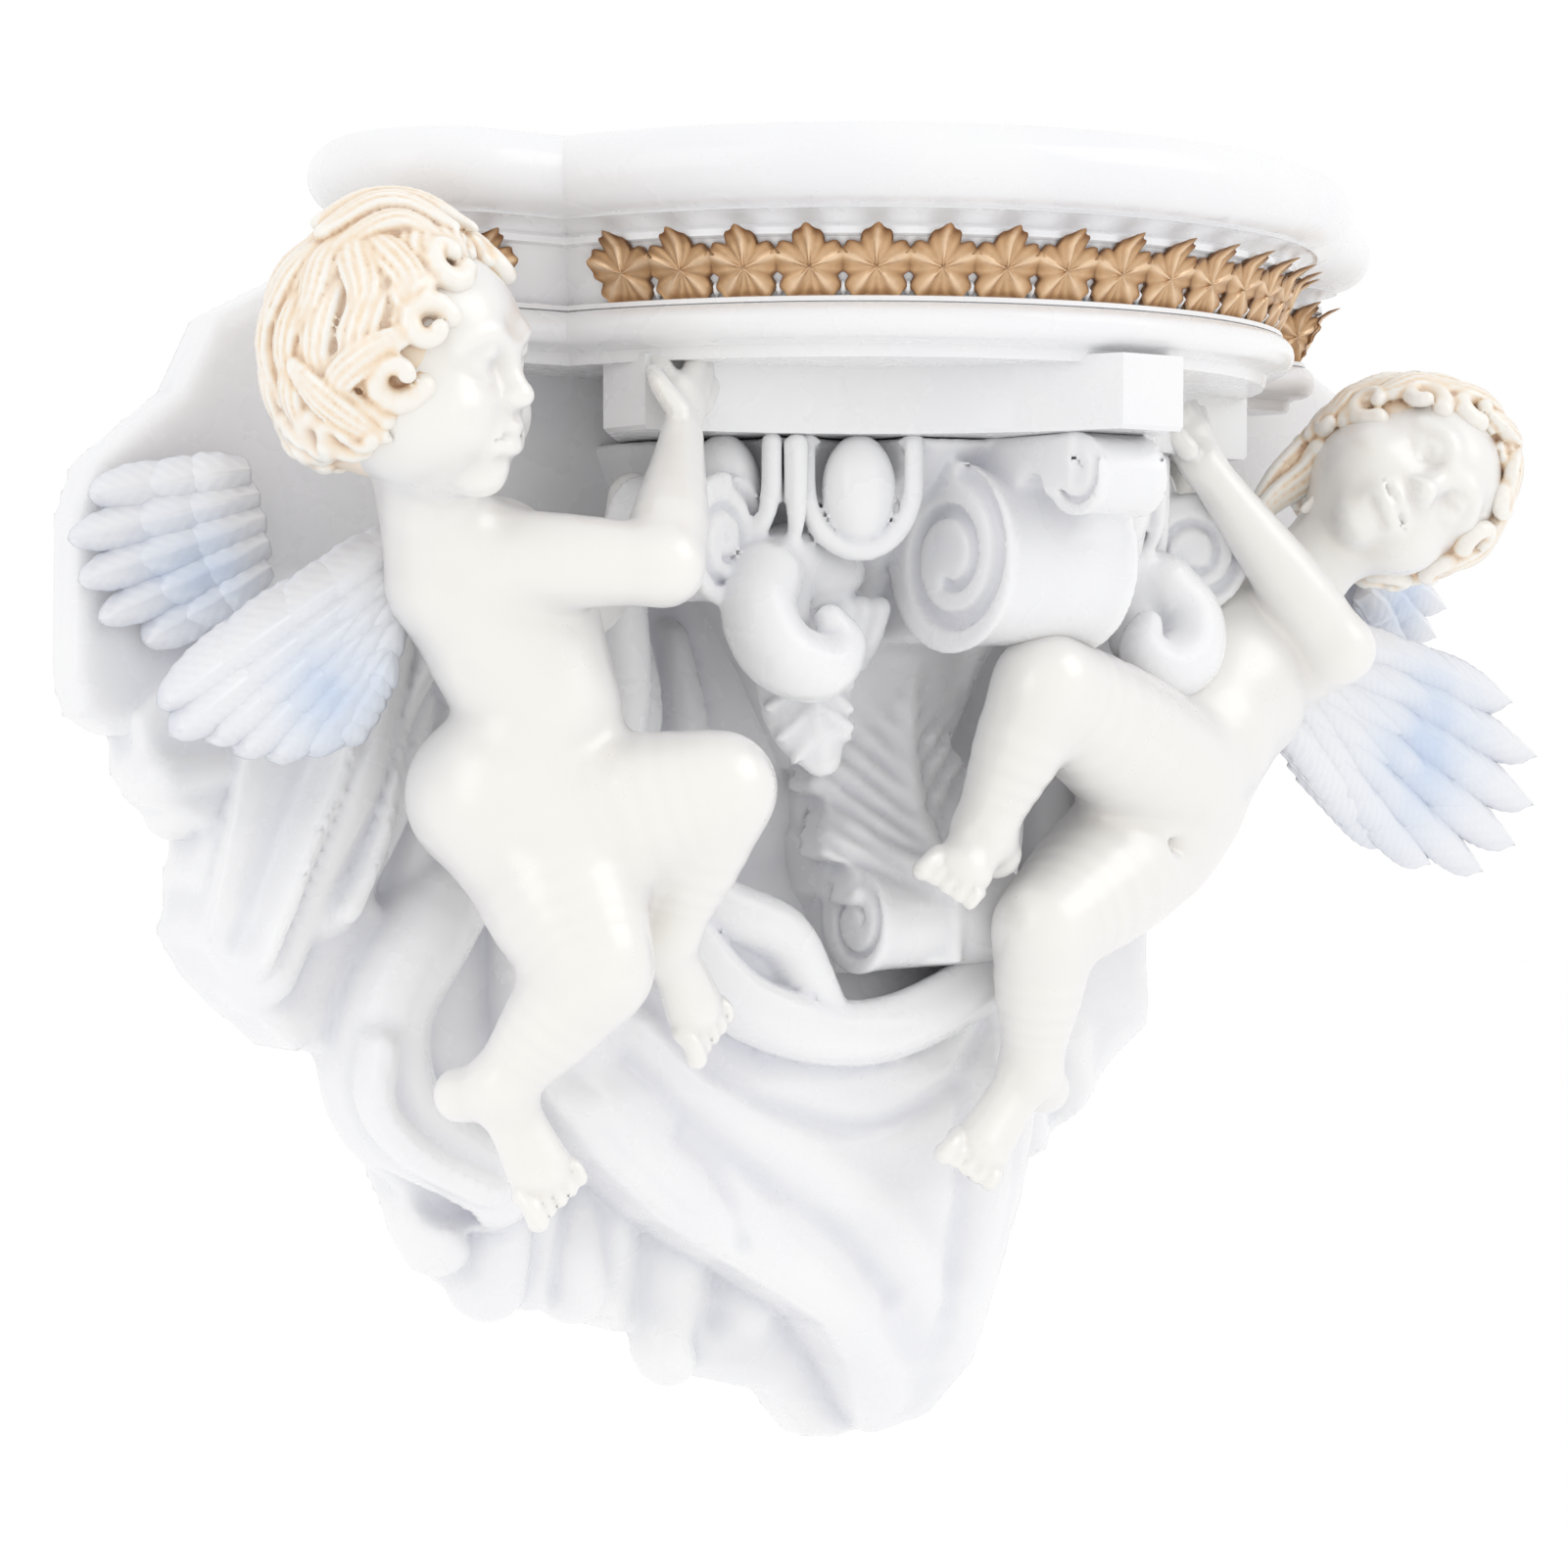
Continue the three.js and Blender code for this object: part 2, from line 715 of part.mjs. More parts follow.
// Flat-backed plate with a rounded front edge.
function wallPlate() {
  const half = plateHalfOutline.map(([share, z]) => [share * plateHalfWidth, z]);
  const mirrored = half.slice(1, -1).reverse().map(([x, z]) => [-x, z]);
  const ring = (depth, inset) => [...half, ...mirrored].map(([x, z]) => {
    const share = 1 - inset / Math.hypot(x, z - plateMiddleZ);
    return [x * share, -depth, plateMiddleZ + (z - plateMiddleZ) * share];
  });
  const shoulder = plateThickness - plateEdgeRound * 0.7;
  return cappedLoft([ring(0, 0), ring(shoulder, 0), ring(plateThickness, plateEdgeRound * 1.4)]);
}

// Height on the drape of a point drawn below the origin.
function hang(z) {
  return z < 0 ? (z * drapeDrop) / drapeDrawnDrop : z;
}

function hemAt(hem, z) {
  if (z >= hem[0][1]) {
    return hem[0][0];
  }
  for (let i = 0; i + 1 < hem.length; i += 1) {
    if (z >= hem[i + 1][1]) {
      const share = (hem[i][1] - z) / (hem[i][1] - hem[i + 1][1]);
      return hem[i][0] + (hem[i + 1][0] - hem[i][0]) * share;
    }
  }
  return hem[hem.length - 1][0];
}

// Rounded fold that rises out of the cloth, deepest along its path.
function foldBody([height, half, path]) {
  const middle = (height + foldRoot) / 2;
  const points = path.map(([x, z]) => [x, -middle, hang(z)]);
  const radii = points.map((point, i) => half * (i === 0 ? 0.7 : 1));
  return limb(points, radii, 5, 0, (height - foldRoot) / 2 / half);
}

// Flat-backed slab of cloth between its two hems, with a low mound in the middle.
function drapery() {
  const rings = clothLevels.map((z) => {
    const left = z > leftHem[0][1] ? leftHem[0][0] + (z - leftHem[0][1]) * 1.2 : hemAt(leftHem, z);
    const right = hemAt(rightHem, z);
    const height = hang(z);
    return [
      [left, -hemDepth, height],
      [left + hemRound, -clothDepth, height],
      [right - hemRound, -clothDepth, height],
      [right, -hemDepth, height],
      [right, 0, height],
      [left, 0, height],
    ];
  });
  const { centre, tall, wide, deep } = clothMound;
  const mound = [centre[0], centre[1], hang(centre[2])];
  return join([cappedLoft(rings), egg(mound, [0, 0, 1], tall, wide, deep, 10, 0)]);
}

// Pointed feather with a diamond section, widest past its middle.
function feather(start, end, belly, grow) {
  const from = vector(start);
  const along = vector(end).sub(from);
  const across = new THREE.Vector3().crossVectors(along, new THREE.Vector3(0, -1, 0)).normalize();
  const ring = (share, width, lift) => {
    const middle = from.clone().addScaledVector(along, share).add(new THREE.Vector3(0, -lift, 0));
    return [[1, 0], [0, 1], [-1, 0], [0, -1]].map(([side, front]) => {
      const point = middle.clone().addScaledVector(across, side * (width + grow));
      return [point.x, point.y - front * (featherThickness + grow), point.z];
    });
  };
  const reach = grow / along.length();
  const point = (share, lift) => {
    const place = from.clone().addScaledVector(along, share);
    return [[place.x, place.y - lift, place.z]];
  };
  const wide = featherHalfWidth;
  return loft([
    point(-reach, 0),
    ring(0.25, wide * 0.8, belly),
    ring(0.7, wide, belly * 0.8),
    ring(0.9, wide * 0.66, belly * 0.4),
    point(1 + reach, 0),
  ]);
}

// One wing: overlapping feathers fanned from the root, and a pad of small feathers over them.
function wingBodies(wing, grow) {
  const bodies = [];
  const [top, bottom] = wing.arm.map(vector);
  const tips = smoothPath(wing.tips, featherCount - 1);
  for (let i = 0; i < featherCount; i += 1) {
    const start = top.clone().lerp(bottom, (i + 0.5) / featherCount);
    bodies.push(feather([start.x, start.y, start.z], tips[i], 4, grow));
  }
  const middle = top.clone().lerp(bottom, 0.5);
  const outward = vector(tips[Math.floor(featherCount / 2)]).sub(middle);
  const cover = middle.clone().addScaledVector(outward, 0.15);
  const reach = top.distanceTo(bottom) / 2 + 4;
  const along = bottom.clone().sub(top);
  bodies.push(egg([cover.x, cover.y - 3, cover.z], [along.x, along.y, along.z], reach, 15, 7, 8, grow));
  return bodies;
}

// Head as one skin: round cheeks, chin and nose in front, a cap of lumpy locks over the rest.
function headBody(head, grow) {
  const centre = vector(head.centre);
  const up = vector(head.up).normalize();
  const side = new THREE.Vector3().crossVectors(up, vector(head.face)).normalize();
  const face = new THREE.Vector3().crossVectors(side, up).normalize();
  const rings = [];
  for (let i = 0; i <= headRows; i += 1) {
    const polar = (Math.PI * i) / headRows;
    const ring = [];
    for (let k = 0; k < headColumns; k += 1) {
      const turn = (2 * Math.PI * k) / headColumns;
      const a = Math.sin(polar) * Math.sin(turn);
      const b = -Math.cos(polar);
      const c = Math.sin(polar) * Math.cos(turn);
      const hair = (c < 0.5 || b > 0.55) && b > -0.7;
      const lock = (i + k) % 2 === 0 ? hairThickness : hairThickness / 3;
      let share = hair ? 1 + lock : faceSlimness;
      if (k === 0 && i === headRows / 2 - 1) {
        share = noseReach;
      }
      const radius = share * skullRadius + grow;
      const point = centre.clone().addScaledVector(side, a * radius * 0.94);
      point.addScaledVector(up, b * radius * skullTallness).addScaledVector(face, c * radius);
      ring.push([point.x, point.y, point.z]);
    }
    rings.push(i === 0 || i === headRows ? [ring[0]] : ring);
  }
  return loft(rings);
}

function childBody(child, grow) {
  const bodies = [];
  const spine = child.spine.map(vector);
  const rings = spine.map((middle, i) => {
    const [wide, deep] = child.spineRadii[i];
    const last = spine.length - 1;
    const along = spine[Math.min(i + 1, last)].clone().sub(spine[Math.max(i - 1, 0)]).normalize();
    const across = new THREE.Vector3().crossVectors(along, new THREE.Vector3(0, -1, 0)).normalize();
    const front = new THREE.Vector3().crossVectors(across, along).normalize();
    const ring = [];
    for (let k = 0; k < torsoSides; k += 1) {
      const angle = (2 * Math.PI * k) / torsoSides;
      const point = middle.clone().addScaledVector(across, Math.cos(angle) * (wide + grow));
      point.addScaledVector(front, Math.sin(angle) * (deep + grow));
      ring.push([point.x, point.y, point.z]);
    }
    return ring;
  });
  bodies.push(cappedLoft(rings));
  const shoulders = child.spine[0];
  bodies.push(limb([child.neck, shoulders], [13, 14], limbSides, grow));
  bodies.push(headBody(child.head, grow));
  child.limbs.forEach((path, i) => {
    bodies.push(limb(path, limbRadii[i], limbSides, grow, limbFlats[i]));
  });
  const hips = child.spine[child.spine.length - 1];
  bodies.push(egg([hips[0], hips[1] + 3, hips[2] + 4], [0.2, 0, 1], 22, 24, 22, 8, grow));
  bodies.push(limb(child.wingBed, wingBedRadii, limbSides, grow));
  for (const wing of child.wings) {
    bodies.push(...wingBodies(wing, grow));
  }
  return join(bodies);
}

const shelfCutter = shelfBody(seatGap);
const shelf = join([shelfBody(0), ...bandLeaves()]);
const wallSide = box([-farAway, -figureClearance, -farAway], [farAway, farAway, farAway]);
const leftAngel = childBody(leftChild, 0).subtract(shelfCutter).subtract(wallSide);
const rightAngel = childBody(rightChild, 0).subtract(shelfCutter).subtract(wallSide);
const behindWall = box([-farAway, 0, -farAway], [farAway, farAway, farAway]);
const bracket = join([
  wallPlate(),
  drapery(),
  ...folds.map(foldBody),
  ...capital(),
  ...consoleBodies(),
  limb(swagPath.map(([x, y, z]) => [x, y, hang(z)]), swagRadii, swagSides, 0),
])
  .subtract(shelfCutter)
  .subtract(behindWall)
  .subtract(childBody(leftChild, seatGap))
  .subtract(childBody(rightChild, seatGap));

function meshOf(name, solid, colour, roughness) {
  const result = solid.getMesh();
  const geometry = new THREE.BufferGeometry();
  const stride = result.numProp;
  const positions = new Float32Array((result.vertProperties.length / stride) * 3);
  for (let i = 0; i < positions.length / 3; i += 1) {
    positions.set(result.vertProperties.slice(i * stride, i * stride + 3), i * 3);
  }
  geometry.setAttribute('position', new THREE.BufferAttribute(positions, 3));
  geometry.setIndex(new THREE.BufferAttribute(new Uint32Array(result.triVerts), 1));
  geometry.computeVertexNormals();
  const material = new THREE.MeshStandardMaterial({ color: colour, roughness, metalness: 0 });
  const mesh = new THREE.Mesh(geometry, material);
  mesh.name = name;
  return mesh;
}

const part = new THREE.Group();
part.name = 'angel_wall_shelf';
part.add(meshOf('shelf', shelf, white, 0.3));
part.add(meshOf('bracket', bracket, white, 0.32));
part.add(meshOf('left_angel', leftAngel, pearl, 0.25));
part.add(meshOf('right_angel', rightAngel, pearl, 0.25));

export default part;
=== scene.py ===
"""Wall shelf held by two winged children over a carved capital with hanging drapery."""
import math

import bpy
import numpy as np
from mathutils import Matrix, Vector


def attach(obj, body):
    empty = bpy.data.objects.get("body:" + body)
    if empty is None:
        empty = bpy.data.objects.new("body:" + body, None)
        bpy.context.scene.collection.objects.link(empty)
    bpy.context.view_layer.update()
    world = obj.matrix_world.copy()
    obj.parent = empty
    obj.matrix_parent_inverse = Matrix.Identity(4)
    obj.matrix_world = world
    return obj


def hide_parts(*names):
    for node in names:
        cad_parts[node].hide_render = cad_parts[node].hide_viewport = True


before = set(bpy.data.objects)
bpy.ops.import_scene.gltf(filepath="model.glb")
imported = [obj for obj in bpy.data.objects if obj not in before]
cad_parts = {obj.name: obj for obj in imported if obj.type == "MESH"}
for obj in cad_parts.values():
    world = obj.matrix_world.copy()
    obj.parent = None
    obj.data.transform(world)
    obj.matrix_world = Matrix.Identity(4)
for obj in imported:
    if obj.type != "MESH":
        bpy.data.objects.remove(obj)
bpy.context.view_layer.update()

MM = 0.001
FAR = 60.0
VERY_FAR = 1e9
FRONT = np.array([0.0, -1.0, 0.0])

# Grid cell of each modelled surface, in millimetres.
SKIN_CELL = 1.2
HAIR_CELL = 0.88
CLOTH_CELL = 1.95
CAPITAL_CELL = 1.35

# Shelf board and moulded edge, in millimetres.
SHELF_TOP = 147.0
SHELF_BOTTOM = 87.3
BULGE_RADIUS = 148.0
BULGE_CENTRE_Y = -19.0
EAR_RADIUS = 38.0
EAR_CENTRE = (150.0, -34.0)
RIM_DEPTH = 21.5
BAND_TOP = 118.0
BAND_BOTTOM = 103.5
BAND_TOP_INSET = 17.0
BAND_BOTTOM_INSET = 24.0
TORUS_INSET = 17.0
TORUS_RADIUS = 5.0
FILLET_INSET = 26.0
LEAF_PITCH = 17.4

# Hollow-sided block under the board.
ABACUS_BOTTOM = 69.0
ABACUS_FRONT = (11.0, -151.0)
ABACUS_SIDE = (112.0, -72.0)
ABACUS_HOLLOW = 20.0
ABACUS_BACK_HALF = 70.0


# Forms as signed distances
def unit(vector):
    vector = np.asarray(vector, float)
    return vector / np.linalg.norm(vector)


def smooth_path(rows, per_span):
    """Catmull-Rom curve through rows of any width, with end rows repeated."""
    rows = np.asarray(rows, float)
    if len(rows) < 3:
        share = np.linspace(0, 1, per_span + 1)[:, None]
        return rows[0] + (rows[-1] - rows[0]) * share
    padded = np.vstack([2 * rows[0] - rows[1], rows, 2 * rows[-1] - rows[-2]])
    out = []
    for i in range(len(rows) - 1):
        a, b, c, d = padded[i : i + 4]
        t = np.linspace(0, 1, per_span, endpoint=False)[:, None]
        square, cube = 2 * a - 5 * b + 4 * c - d, 3 * b - a - 3 * c + d
        out.append(0.5 * (2 * b + (c - a) * t + square * t**2 + cube * t**3))
    out.append(rows[-1:])
    return np.vstack(out)


def rope(path, radii, per_span=3, flat=1.0, facing=FRONT):
    """Round rope through a path; flat scales its thickness along facing."""
    path = np.asarray(path, float)
    radii = np.broadcast_to(np.asarray(radii, float), (len(path),))
    rows = smooth_path(np.column_stack([path, radii]), per_span)
    centres, widths = rows[:, :3], np.maximum(rows[:, 3], 0.2)
    reach = widths.max() * max(1.0, flat)

    def distance(points):
        best = None
        for a, b, near, far in zip(centres, centres[1:], widths, widths[1:]):
            span = b - a
            offset = points - a.astype(np.float32)
            share = np.clip(offset @ (span / max(span @ span, 1e-9)).astype(np.float32), 0, 1)
            offset -= share[..., None] * span.astype(np.float32)
            squared = np.einsum("...i,...i->...", offset, offset)
            if flat != 1.0:
                normal = np.asarray(facing, float) - span * (np.dot(facing, span) / max(span @ span, 1e-9))
                deep = offset @ unit(normal).astype(np.float32)
                squared += deep * deep * (1 / flat**2 - 1)
            gap = np.sqrt(squared) - (near + (far - near) * share)
            best = gap if best is None else np.minimum(best, gap)
        return best

    return centres.min(0) - reach, centres.max(0) + reach, distance


def egg(centre, radii, axes=None):
    """Ellipsoid; the rows of axes are its own directions."""
    centre = np.asarray(centre, float)
    radii = np.broadcast_to(np.asarray(radii, float), (3,)).astype(np.float32)
    turn = np.eye(3) if axes is None else np.asarray(axes, float)

    def distance(points):
        local = (points - centre.astype(np.float32)) @ turn.T.astype(np.float32)
        scaled = local / radii
        outer = np.sqrt((scaled**2).sum(-1))
        inner = np.sqrt(((scaled / radii) ** 2).sum(-1))
        return outer * (outer - 1) / np.maximum(inner, 1e-6)

    return centre - radii.max(), centre + radii.max(), distance


def block(low, high, rounding=0.0):
    """Box between two corners with rounded edges."""
    low, high = np.asarray(low, float), np.asarray(high, float)
    middle, half = (low + high) / 2, (high - low) / 2 - rounding

    def distance(points):
        away = np.abs(points - middle.astype(np.float32)) - half.astype(np.float32)
        outside = np.sqrt((np.maximum(away, 0) ** 2).sum(-1))
        return outside + np.minimum(away.max(-1), 0) - rounding

    return low, high, distance


# Cells round a form that its distances reach into.
WINDOW_CELLS = 2.5


class Clay:
    """Grid of signed distances, negative inside, into which forms are pressed one after another."""

    def __init__(self, low, high, cell):
        self.low = np.array(low, float)
        self.cell = cell
        counts = np.ceil((np.array(high, float) - self.low) / cell).astype(int) + 1
        self.field = np.full(counts, FAR, np.float32)

    def window(self, low, high):
        first = np.floor((np.asarray(low) - self.low) / self.cell).astype(int)
        last = np.ceil((np.asarray(high) - self.low) / self.cell).astype(int) + 1
        first = np.clip(first, 0, self.field.shape)
        last = np.clip(last, first, self.field.shape)
        axes = [self.low[i] + self.cell * np.arange(first[i], last[i]) for i in range(3)]
        grid = np.stack(np.meshgrid(*axes, indexing="ij"), axis=-1).astype(np.float32)
        return tuple(slice(a, b) for a, b in zip(first, last)), grid

    def add(self, form, blend=0.0):
        self.press(form, blend, 1)

    def cut(self, form, blend=0.0):
        self.press(form, blend, -1)

    def press(self, form, blend, sign):
        """Joins a form to the field with a soft seam, or takes it out where sign is -1."""
        low, high, distance = form
        margin = blend + WINDOW_CELLS * self.cell
        place, grid = self.window(low - margin, high + margin)
        if grid.size:
            old, new = sign * self.field[place], distance(grid)
            self.field[place] = sign * (np.minimum(old, new) - seam(old - new, blend))

    def behind(self, y):
        """Cuts off what lies past a plane of equal y."""
        ys = self.low[1] + self.cell * np.arange(self.field.shape[1])
        self.field = np.maximum(self.field, (ys - y).astype(np.float32)[None, :, None])


def seam(gap, blend):
    """How far a soft join of two distances lies from the hard one."""
    if blend <= 0:
        return 0.0
    near = np.maximum(blend - np.abs(gap), 0) / blend
    return near * near * blend * 0.25


CORNERS = np.array([[x, y, z] for x in (0, 1) for y in (0, 1) for z in (0, 1)])
EDGES = [(a, b) for a in range(8) for b in range(a + 1, 8) if np.abs(CORNERS[a] - CORNERS[b]).sum() == 1]


def surface(clay):
    """Points and quads of a field's zero surface, one point for each cell that it passes through."""
    field = clay.field
    inside = field < 0
    spans = [slice(None, -1), slice(1, None)]
    count = sum(inside[spans[x], spans[y], spans[z]].astype(np.int8) for x, y, z in CORNERS)
    active = (count > 0) & (count < 8)
    cells = np.argwhere(active)
    index = np.full(active.shape, -1, np.int32)
    index[active] = np.arange(len(cells))
    values = [field[tuple((cells + corner).T)] for corner in CORNERS]
    total = np.zeros((len(cells), 3))
    hits = np.zeros(len(cells))
    for a, b in EDGES:
        crossing = (values[a] < 0) != (values[b] < 0)
        share = np.where(crossing, values[a] / np.where(crossing, values[a] - values[b], 1), 0)
        total += crossing[:, None] * (CORNERS[a] + share[:, None] * (CORNERS[b] - CORNERS[a]))
        hits += crossing
    points = clay.low + clay.cell * (cells + total / hits[:, None])
    quads = []
    for axis in range(3):
        u, v = np.eye(3, dtype=int)[(axis + 1) % 3], np.eye(3, dtype=int)[(axis + 2) % 3]
        lower = tuple(slice(None, -1) if k == axis else slice(1, -1) for k in range(3))
        upper = tuple(slice(1, None) if k == axis else slice(1, -1) for k in range(3))
        changed = inside[lower] != inside[upper]
        nodes = np.argwhere(changed) + u + v
        ring = [nodes, nodes - u, nodes - u - v, nodes - v]
        quad = np.column_stack([index[tuple(node.T)] for node in ring])
        turned = ~inside[tuple(nodes.T)]
        quad[turned] = quad[turned][:, ::-1]
        quads.append(quad)
    return points, np.vstack(quads)


def relax(points, quads, rounds, strength=0.5):
    """Moves each point towards the mean of its neighbours."""
    starts = np.concatenate([quads.ravel(), np.roll(quads, -1, axis=1).ravel()])
    ends = np.concatenate([np.roll(quads, -1, axis=1).ravel(), quads.ravel()])
    degree = np.maximum(np.bincount(starts, minlength=len(points)), 1)[:, None]
    for _ in range(rounds):
        sums = [np.bincount(starts, points[ends, k], len(points)) for k in range(3)]
        points = points + strength * (np.column_stack(sums) / degree - points)
    return points


def hollows(points, quads, rounds, depth):
    """0 on ridges, 1 in hollows, from how far each point moves out when the surface is smoothed; the
    materials paint shade into the hollows by it.
    """
    corners = points[quads]
    normals = np.cross(corners[:, 2] - corners[:, 0], corners[:, 3] - corners[:, 1])
    shares = np.repeat(normals, 4, axis=0)
    total = np.column_stack([np.bincount(quads.ravel(), shares[:, k], len(points)) for k in range(3)])
    total /= np.maximum(np.linalg.norm(total, axis=1), 1e-9)[:, None]
    moved = ((relax(points, quads, rounds) - points) * total).sum(1)
    return np.clip(0.5 + moved / depth, 0, 1)


# Pieces
def link(name, data):
    """Object in the scene that shows a mesh, lamp or camera."""
    holder = bpy.data.objects.new(name, data)
    bpy.context.scene.collection.objects.link(holder)
    return holder


def make_piece(name, points, faces, material, slot, replaces=(), values=None, sharp=None):
    """Mesh piece from points in millimetres; values are named numbers kept at each point."""
    mesh = bpy.data.meshes.new(name)
    faces = faces.tolist() if isinstance(faces, np.ndarray) else faces
    mesh.from_pydata((np.asarray(points) * MM).tolist(), [], faces)
    for key, numbers in (values or {}).items():
        layer = mesh.attributes.new(key, "FLOAT", "POINT")
        layer.data.foreach_set("value", np.asarray(numbers, np.float32))
    mesh.polygons.foreach_set("use_smooth", np.ones(len(mesh.polygons), bool))
    mesh.materials.append(material)
    if sharp is not None:
        mesh.set_sharp_from_angle(angle=math.radians(sharp))
    mesh.update()
    piece = link(name, mesh)
    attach(piece, "root")
    if replaces:
        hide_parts(*replaces)


def make_clay_piece(name, clay, material, slot, replaces, hollow):
    """Piece from a field; hollow gives the smoothing rounds and depth that shade its hollows."""
    points, quads = surface(clay)
    points = relax(points, quads, 1, 0.5)
    points = relax(points, quads, 1, -0.5)
    values = {"hollow": hollows(points, quads, *hollow)}
    make_piece(name, points, quads, material, slot, replaces, values)


def grid_faces(rows, columns, closed):
    """Quads over a grid of points laid out row by row; closed joins the last column to the first."""
    faces = []
    for r in range(rows - 1):
        for c in range(columns if closed else columns - 1):
            n = (c + 1) % columns
            faces.append((r * columns + c, r * columns + n, (r + 1) * columns + n, (r + 1) * columns + c))
    return faces


# Materials
BLACK = (0.0, 0.0, 0.0)
FULL = (1.0, 1.0, 1.0)


def new_material(name, base, roughness, metallic=0.0, coat=0.0, coat_roughness=0.1):
    material = bpy.data.materials.new(name)
    material.use_nodes = True
    shader = material.node_tree.nodes["Principled BSDF"]
    shader.inputs["Base Color"].default_value = (*base, 1)
    shader.inputs["Roughness"].default_value = roughness
    shader.inputs["Metallic"].default_value = metallic
    shader.inputs["Coat Weight"].default_value = coat
    shader.inputs["Coat Roughness"].default_value = coat_roughness
    return material, material.node_tree, shader


def link_ramp(tree, source, stops):
    ramp = tree.nodes.new("ShaderNodeValToRGB")
    for extra in stops[2:]:
        ramp.color_ramp.elements.new(extra[0])
    for element, (place, colour) in zip(ramp.color_ramp.elements, sorted(stops)):
        element.position = place
        element.color = (*colour, 1)
    tree.links.new(source, ramp.inputs[0])
    return ramp.outputs[0]


def noise(tree, scale, detail):
    coordinates = tree.nodes.new("ShaderNodeTexCoord")
    texture = tree.nodes.new("ShaderNodeTexNoise")
    texture.inputs["Scale"].default_value = scale
    texture.inputs["Detail"].default_value = detail
    texture.inputs["Roughness"].default_value = 0.5
    tree.links.new(coordinates.outputs["Object"], texture.inputs["Vector"])
    return texture.outputs[0]


def mixed(tree, share, first, second, kind="MIX"):
    """Mixes two colours or colour sockets by a share."""
    node = tree.nodes.new("ShaderNodeMix")
    node.data_type = "RGBA"
    node.blend_type = kind
    for socket, value in ((node.inputs[0], share), (node.inputs[6], first), (node.inputs[7], second)):
        if isinstance(value, bpy.types.NodeSocket):
            tree.links.new(value, socket)
        elif isinstance(value, float):
            socket.default_value = value
        else:
            socket.default_value = (*value, 1)
    return node.outputs[2]


def washed(tree, name, stops):
    """Colours run over a number kept at each point."""
    return link_ramp(tree, attribute(tree, name), stops)


def clouded(tree, scale, detail, stops):
    """Colours run over noise."""
    return link_ramp(tree, noise(tree, scale, detail), stops)


def vary_gloss(tree, shader, scale, detail, low, high):
    """Roughness that drifts between two stops, each a place on the noise and a roughness."""
    stops = [(place, (value, value, value)) for place, value in (low, high)]
    tree.links.new(clouded(tree, scale, detail, stops), shader.inputs["Roughness"])


def attribute(tree, name):
    node = tree.nodes.new("ShaderNodeAttribute")
    node.attribute_name = name
    return node.outputs["Fac"]


def bumped(tree, shader, height, strength, distance):
    bump = tree.nodes.new("ShaderNodeBump")
    bump.inputs["Strength"].default_value = strength
    bump.inputs["Distance"].default_value = distance
    tree.links.new(height, bump.inputs["Height"])
    tree.links.new(bump.outputs[0], shader.inputs["Normal"])


def gloss_white():
    """Gloss paint with painted shade, a little blue, in its hollows."""
    material, tree, shader = new_material("gloss_white", (0.86, 0.86, 0.87), 0.3, coat=0.3)
    # painted shade: the hollow value darkens the white and turns it a little blue in creases and recesses
    body = washed(tree, "hollow", [(0.4, (0.88, 0.88, 0.885)), (0.9, (0.74, 0.745, 0.79))])
    cloud = clouded(tree, 18.0, 3.0, [(0.35, (0.965, 0.965, 0.98)), (0.65, FULL)])
    tree.links.new(mixed(tree, 1.0, body, cloud, "MULTIPLY"), shader.inputs["Base Color"])
    vary_gloss(tree, shader, 60.0, 4.0, (0.3, 0.2), (0.75, 0.36))
    bumped(tree, shader, noise(tree, 240.0, 4.0), 0.1, 0.0004)
    return material


def pearl_skin():
    """Ivory paint with painted shade in its hollows and a painted pearl sheen whose colour turns cooler
    towards the edges.
    """
    material, tree, shader = new_material("pearl_skin", (0.86, 0.83, 0.78), 0.3, 0.12, 0.5, 0.2)
    # painted shade: the hollow value darkens the ivory towards warm grey in creases and recesses
    body = washed(tree, "hollow", [(0.35, (0.885, 0.875, 0.85)), (0.9, (0.76, 0.73, 0.71))])
    # painted pearl sheen: the colour shifts with the angle between the surface and the view
    glance = tree.nodes.new("ShaderNodeLayerWeight")
    glance.inputs["Blend"].default_value = 0.35
    painted_pearl_sheen = link_ramp(tree, glance.outputs["Facing"],
                      [(0.0, (1.0, 0.995, 0.97)), (0.6, (0.96, 0.965, 0.99)), (1.0, (0.98, 0.95, 0.94))])
    tree.links.new(mixed(tree, 1.0, body, painted_pearl_sheen, "MULTIPLY"), shader.inputs["Base Color"])
    vary_gloss(tree, shader, 45.0, 4.0, (0.3, 0.26), (0.75, 0.4))
    bumped(tree, shader, noise(tree, 900.0, 2.0), 0.08, 0.0002)
    return material


def peach_hair():
    """Ivory paint with a peach wash that gathers between the locks and deepens there to brown as painted
    shade.
    """
    material, tree, shader = new_material("peach_hair", (0.88, 0.8, 0.7), 0.3, 0.05, 0.4, 0.12)
    # peach wash in the hollows between the locks, darkened to brown in the deepest ones as painted shade
    wash = washed(tree, "hollow",
                  [(0.3, (0.89, 0.86, 0.8)), (0.54, (0.85, 0.69, 0.51)), (0.85, (0.58, 0.38, 0.24))])
    patch = clouded(tree, 38.0, 2.0, [(0.3, BLACK), (0.56, FULL)])
    pale = mixed(tree, 0.4, wash, (0.9, 0.885, 0.85))
    tree.links.new(mixed(tree, patch, pale, wash), shader.inputs["Base Color"])
    bumped(tree, shader, noise(tree, 500.0, 3.0), 0.15, 0.0003)
    return material


